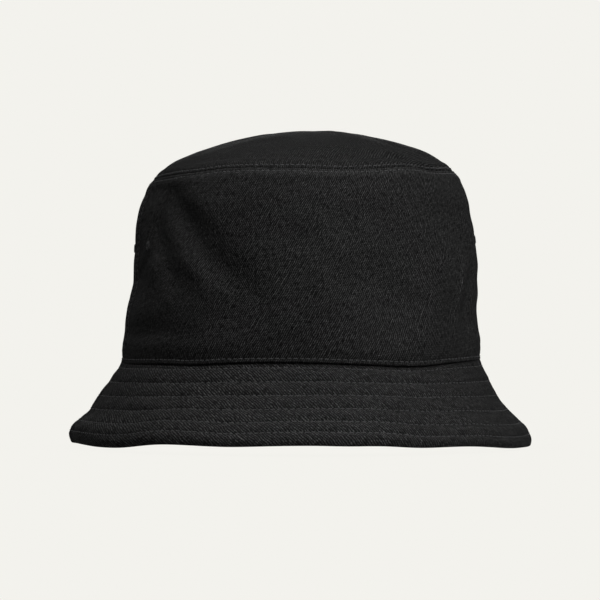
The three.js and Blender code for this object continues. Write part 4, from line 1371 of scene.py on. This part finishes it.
# ------------------------------------------------------------------ stitched eyelets
for cad, deg in eyes.items():
    centre, axis = place_of(deg, EYE_T)
    up = np.array([0, 0, 1.0])
    ex = np.cross(up, axis)
    ex /= np.linalg.norm(ex)
    ey = np.cross(axis, ex)
    g = np.random.default_rng(int(deg * 10))
    paths = []
    count_ = 24
    for i in range(count_):
        a = (i + g.uniform(-0.15, 0.15)) / count_ * TAU
        out_r = 2.35 + g.uniform(-0.16, 0.16)
        d = ex * math.cos(a) + ey * math.sin(a)
        # from inside the hole, over the rim and down into the cloth
        line = [(0.80, -1.15), (0.78, -0.40), (0.92, 0.12), (1.25, 0.36), (1.70, 0.32), (2.10, 0.10), (out_r, -0.34)]
        pts_ = spline(np.arange(len(line)), np.array(line), np.linspace(0, len(line) - 1, 15))
        pts = centre + d * pts_[:, :1] + axis * pts_[:, 1:]
        nrm = np.repeat(axis[None] + d[None] * 0.001, len(pts), 0)
        tan = np.gradient(pts, axis=0)
        side = np.cross(d, axis)
        nrm = np.cross(side[None], tan)
        nrm *= np.sign(nrm @ axis + 1e-9)[:, None]
        paths.append((pts, nrm, 0.21, 0.19, False))
    # the ring of padding thread under the stitches
    ang = np.arange(40) / 40 * TAU
    ring_pts = centre + (ex * np.cos(ang)[:, None] + ey * np.sin(ang)[:, None]) * 1.45 + axis * 0.12
    paths.append((ring_pts, np.repeat(axis[None], 40, 0), 0.42, 0.24, True))
    ob = tube(paths, cad + "_stitched", thread_eye)
    keep_on(ob, HAT, [cad])

# ------------------------------------------------------------------ inside: tapes, sweatband, label
TAPE_D = 2 * ROLL + 0.12
tt_ = np.linspace(L_SIDE - 8.6, L_SIDE + 8.6, 22)
th = np.arange(360) / 360 * TAU
wav = 0.10 * ripple(th[None, :], tt_[:, None], 20, 61, 30, 70, 0.1)
curl = 0.25 * smooth((np.abs(tt_ - L_SIDE) - 7.2) / 1.4)[:, None]
f_ = crown.at(th[None, :], tt_[:, None], TAPE_D + wav - curl)
b_ = crown.at(th[None, :], tt_[:, None], TAPE_D + 0.42 + wav - curl)
uv_ = np.stack(np.broadcast_arrays(th[None, :] * 80.0, tt_[:, None]), -1)
ob = shell("tip_binding_tape", b_, f_, uv_, True, tape_mat)
keep_on(ob, TOP, ["tip_seam_tape"])

for side_name, centre in (("left", math.pi), ("right", 0.0)):
    tv = np.linspace(7.4, L_SIDE - 9.2, 90)
    w = np.linspace(-5.0, 5.0, 13)
    rr = np.interp(tv, t_all, prof[:, 0])
    thg = centre + w[None, :] / rr[:, None]
    tg = np.broadcast_to(tv[:, None], thg.shape)
    wav = 0.12 * np.cos(tg / 7.0 * TAU + 3 * np.sin(tg / 11.0))
    dep = 1.05 + wav * 0.3
    f_ = crown.at(thg, tg, dep)
    b_ = crown.at(thg, tg, dep + 0.42)
    uv_ = np.stack([w[None, :] + tv[:, None] * 0, tg], -1)
    ob = shell(f"side_binding_tape_{side_name}", b_, f_, uv_, False, tape_mat)
    keep_on(ob, HAT, [f"side_seam_tape_{side_name}"])

# the sweatband hangs free of the panels above its sewn lower edge, with a lapped join behind
band_top = BAND_H
tb = np.concatenate([np.linspace(0.4, 3.5, 8), np.linspace(4.2, band_top - 1.5, 40), np.linspace(band_top - 1.0, band_top, 5)])
th = np.arange(540) / 540 * TAU
B_IN = 1.62 + 2 * CLOTH + 0.08 + 0.12
wave = ripple(th[None, :], tb[:, None], 18, 88, 4, 16, 0.05) * 0.35
pinch = ripple(th[None, :], tb[:, None], 24, 89, 45, 95, 0.05) * 0.10 * np.exp(-(((tb[:, None] - 3) / 4) ** 2))
free = smooth((tb[:, None] - 3.5) / 10.0)
lap = 0.5 * smooth((4.5 - np.abs(((th[None, :] - 0.5 * math.pi + math.pi) % TAU - math.pi) * 95.0)) / 1.0)
dep = B_IN + 0.25 * free + wave * free + pinch + lap - 0.25 * np.exp(-(((tb[:, None] - 3.2) / 0.8) ** 2))
BAND_DEPTH = dep
hem_pad = 0.35 * smooth((tb[:, None] - (band_top - 5.0)) / 0.8)
f_ = crown.at(th[None, :], tb[:, None] + th[None, :] * 0, dep + 0.85 + hem_pad)
b_ = crown.at(th[None, :], tb[:, None] + th[None, :] * 0, dep)
uv_ = np.stack(np.broadcast_arrays(th[None, :] * 88.0, tb[:, None]), -1)
ob = shell("sweatband_strip", f_, b_, uv_, True, band_mat)
keep_on(ob, HAT, ["sweatband"])

n_band = 190
per = 8
m = n_band * per
k = np.arange(m)
thb = k / m * TAU
pos = (k % per) / per
down = np.exp(-(((pos - 0.5) / 0.14) ** 2))
rows_ = []
for t_row in (3.2, band_top - 3.6):
    d_here = np.interp(thb, np.append(th, TAU), np.append(dep[np.argmin(np.abs(tb - t_row))], dep[np.argmin(np.abs(tb - t_row))][0]))
    pad_ = 0.85 + float(np.interp(t_row, tb, hem_pad[:, 0]))
    d_ = d_here + pad_ + 0.12 * (1 - down) - 0.5 * down
    pts = crown.at(thb, np.full(m, t_row), d_)
    rows_.append((pts, crown.read(N_CROWN, thb, np.full(m, t_row)), 0.25 * (1 - 0.2 * down), 0.2 * (1 - 0.2 * down), True))
ob = tube(rows_, "sweatband_stitches", thread_mat)
keep_on(ob, HAT, ["stitch_sweatband"])

lab_lo, lab_hi = box_mm("care_label")
lw = (lab_hi[0] - lab_lo[0]) / 2
lab_t = np.linspace(1.5, 1.5 + (lab_hi[2] - lab_lo[2]) * 0.9, 40)
lab_w = np.linspace(-lw, lw, 25)
thg = 0.5 * math.pi + 0.09 + lab_w[None, :] / 92.0 + lab_t[:, None] * 0
tg = lab_t[:, None] + lab_w[None, :] * 0
bow = 1.3 * smooth((lab_t[:, None] - 8) / 26.0) + 0.25 * np.cos(lab_w[None, :] / 6.5 + 0.6) * smooth((lab_t[:, None] - 5) / 20.0)
dl = B_IN + 0.85 + 0.5 + 0.7 + bow
f_ = crown.at(thg, tg, dl + 0.28)
b_ = crown.at(thg, tg, dl)
uv_ = np.stack([lab_w[None, :] + lab_t[:, None] * 0, tg], -1)
ob = shell("blank_care_label", f_, b_, uv_, False, label_mat)
keep_on(ob, HAT, ["care_label"])

for ob, body in made:
    above = ob.data is not None and max(v.co.z for v in ob.data.vertices) > (SEAM_Z + 9.0) * MM
    if above or ob.name == "topstitch_crown_hem":
        crumple(ob)

# ------------------------------------------------------------------ stage, light and camera
scene = bpy.context.scene
scene.view_settings.view_transform = "Standard"
scene.view_settings.look = "None"
PALE = (0.896, 0.888, 0.847)

bpy.ops.mesh.primitive_circle_add(vertices=96, radius=4.0, fill_type="TRIFAN")
floor = bpy.context.active_object
floor.name = "floor"
fm = bpy.data.materials.new("pale_floor")
fm.use_nodes = True
nt = fm.node_tree
nt.nodes.clear()
out = nt.nodes.new("ShaderNodeOutputMaterial")
em = node(nt, "ShaderNodeEmission")
em.inputs[0].default_value = (*PALE, 1)
em.inputs[1].default_value = 1.0
# a faint contact shadow, seen from above and gone at a grazing view
ao = nt.nodes.new("ShaderNodeAmbientOcclusion")
ao.samples = 8
ao.inputs["Distance"].default_value = 0.03
geo = nt.nodes.new("ShaderNodeNewGeometry")
facing = nt.nodes.new("ShaderNodeVectorMath")
facing.operation = "DOT_PRODUCT"
nt.links.new(geo.outputs["Incoming"], facing.inputs[0])
nt.links.new(geo.outputs["Normal"], facing.inputs[1])
dark = math_node(nt, "SUBTRACT", 1.0, ao.outputs["AO"], clamp=True)
dark = math_node(nt, "MULTIPLY", dark, math_node(nt, "MULTIPLY", facing.outputs["Value"], 0.45, clamp=True))
nt.links.new(math_node(nt, "SUBTRACT", 1.0, dark), em.inputs[1])
# only the camera sees the floor's glow; for the hat it is a plain pale floor
lp = nt.nodes.new("ShaderNodeLightPath")
dif2 = nt.nodes.new("ShaderNodeBsdfDiffuse")
dif2.inputs[0].default_value = (0.13, 0.13, 0.13, 1)
mx2 = nt.nodes.new("ShaderNodeMixShader")
nt.links.new(lp.outputs["Is Camera Ray"], mx2.inputs[0])
nt.links.new(dif2.outputs[0], mx2.inputs[1])
nt.links.new(em.outputs[0], mx2.inputs[2])
# from underneath the floor is left out of sight
clear = nt.nodes.new("ShaderNodeBsdfTransparent")
mx3 = nt.nodes.new("ShaderNodeMixShader")
seen_below = math_node(nt, "MULTIPLY", geo.outputs["Backfacing"], lp.outputs["Is Camera Ray"])
nt.links.new(math_node(nt, "MAXIMUM", seen_below, lp.outputs["Is Shadow Ray"]), mx3.inputs[0])
nt.links.new(mx2.outputs[0], mx3.inputs[1])
nt.links.new(clear.outputs[0], mx3.inputs[2])
nt.links.new(mx3.outputs[0], out.inputs[0])
floor.data.materials.append(fm)

world = bpy.data.worlds.new("studio")
scene.world = world
world.use_nodes = True
nt = world.node_tree
nt.nodes.clear()
wo = nt.nodes.new("ShaderNodeOutputWorld")
bg_cam = nt.nodes.new("ShaderNodeBackground")
bg_cam.inputs[0].default_value = (*PALE, 1)
bg_amb = nt.nodes.new("ShaderNodeBackground")
bg_amb.inputs[0].default_value = (0.95, 0.97, 1.0, 1)
bg_amb.inputs[1].default_value = 0.05
lp = nt.nodes.new("ShaderNodeLightPath")
mxw = nt.nodes.new("ShaderNodeMixShader")
nt.links.new(lp.outputs["Is Camera Ray"], mxw.inputs[0])
nt.links.new(bg_amb.outputs[0], mxw.inputs[1])
nt.links.new(bg_cam.outputs[0], mxw.inputs[2])
nt.links.new(mxw.outputs[0], wo.inputs[0])

from mathutils import Vector  # noqa: E402


def area(name, where, aim, size, power, colour=(1, 1, 1)):
    light = bpy.data.lights.new(name, "AREA")
    light.shape = "RECTANGLE"
    light.size, light.size_y = size
    light.energy = power
    light.color = colour
    ob = bpy.data.objects.new(name, light)
    scene.collection.objects.link(ob)
    ob.location = where
    ob.rotation_mode = "QUATERNION"
    ob.rotation_quaternion = (Vector(aim) - Vector(where)).to_track_quat("-Z", "Y")
    return ob


back_v = Vector((math.sin(va), -math.cos(va), 0))
right_v = Vector((math.cos(va), math.sin(va), 0))
area("key", back_v * 1.25 + right_v * 0.95 + Vector((0, 0, 1.1)), (0, 0, 0.08), (0.9, 0.9), 29)
area("fill", back_v * 1.4 - right_v * 1.3 + Vector((0, 0, 0.5)), (0, 0, 0.07), (1.2, 1.2), 6.5)
area("top", back_v * 0.22 - right_v * 0.12 + Vector((0, 0, 1.5)), (0, 0, 0.1), (0.8, 0.8), 22)
area("back", back_v * -1.6 + right_v * 0.05 + Vector((0, 0, 0.35)), (0, 0, 0.06), (0.5, 0.5), 2.5)
area("under", back_v * 0.5 + Vector((0, 0, -1.2)), (0, 0, 0.05), (1.0, 1.0), 3)
area("side", back_v * 0.25 + right_v * 1.7 + Vector((0, 0, 0.75)), (0, 0, 0.08), (0.7, 0.9), 8.5)

D_CAM = 1.5
cam_data = bpy.data.cameras.new("camera")
cam = bpy.data.objects.new("camera", cam_data)
scene.collection.objects.link(cam)
cam_data.sensor_width = 36
cam_data.lens = 176
cam_data.clip_start, cam_data.clip_end = 0.05, 30
eye_h = 0.0605
cam.location = back_v * D_CAM + Vector((0, 0, eye_h)) - right_v * 0.0002
aim = Vector((0, 0, 0.0745)) - right_v * 0.0003
cam.rotation_mode = "QUATERNION"
cam.rotation_quaternion = (aim - cam.location).to_track_quat("-Z", "Y")
scene.camera = cam
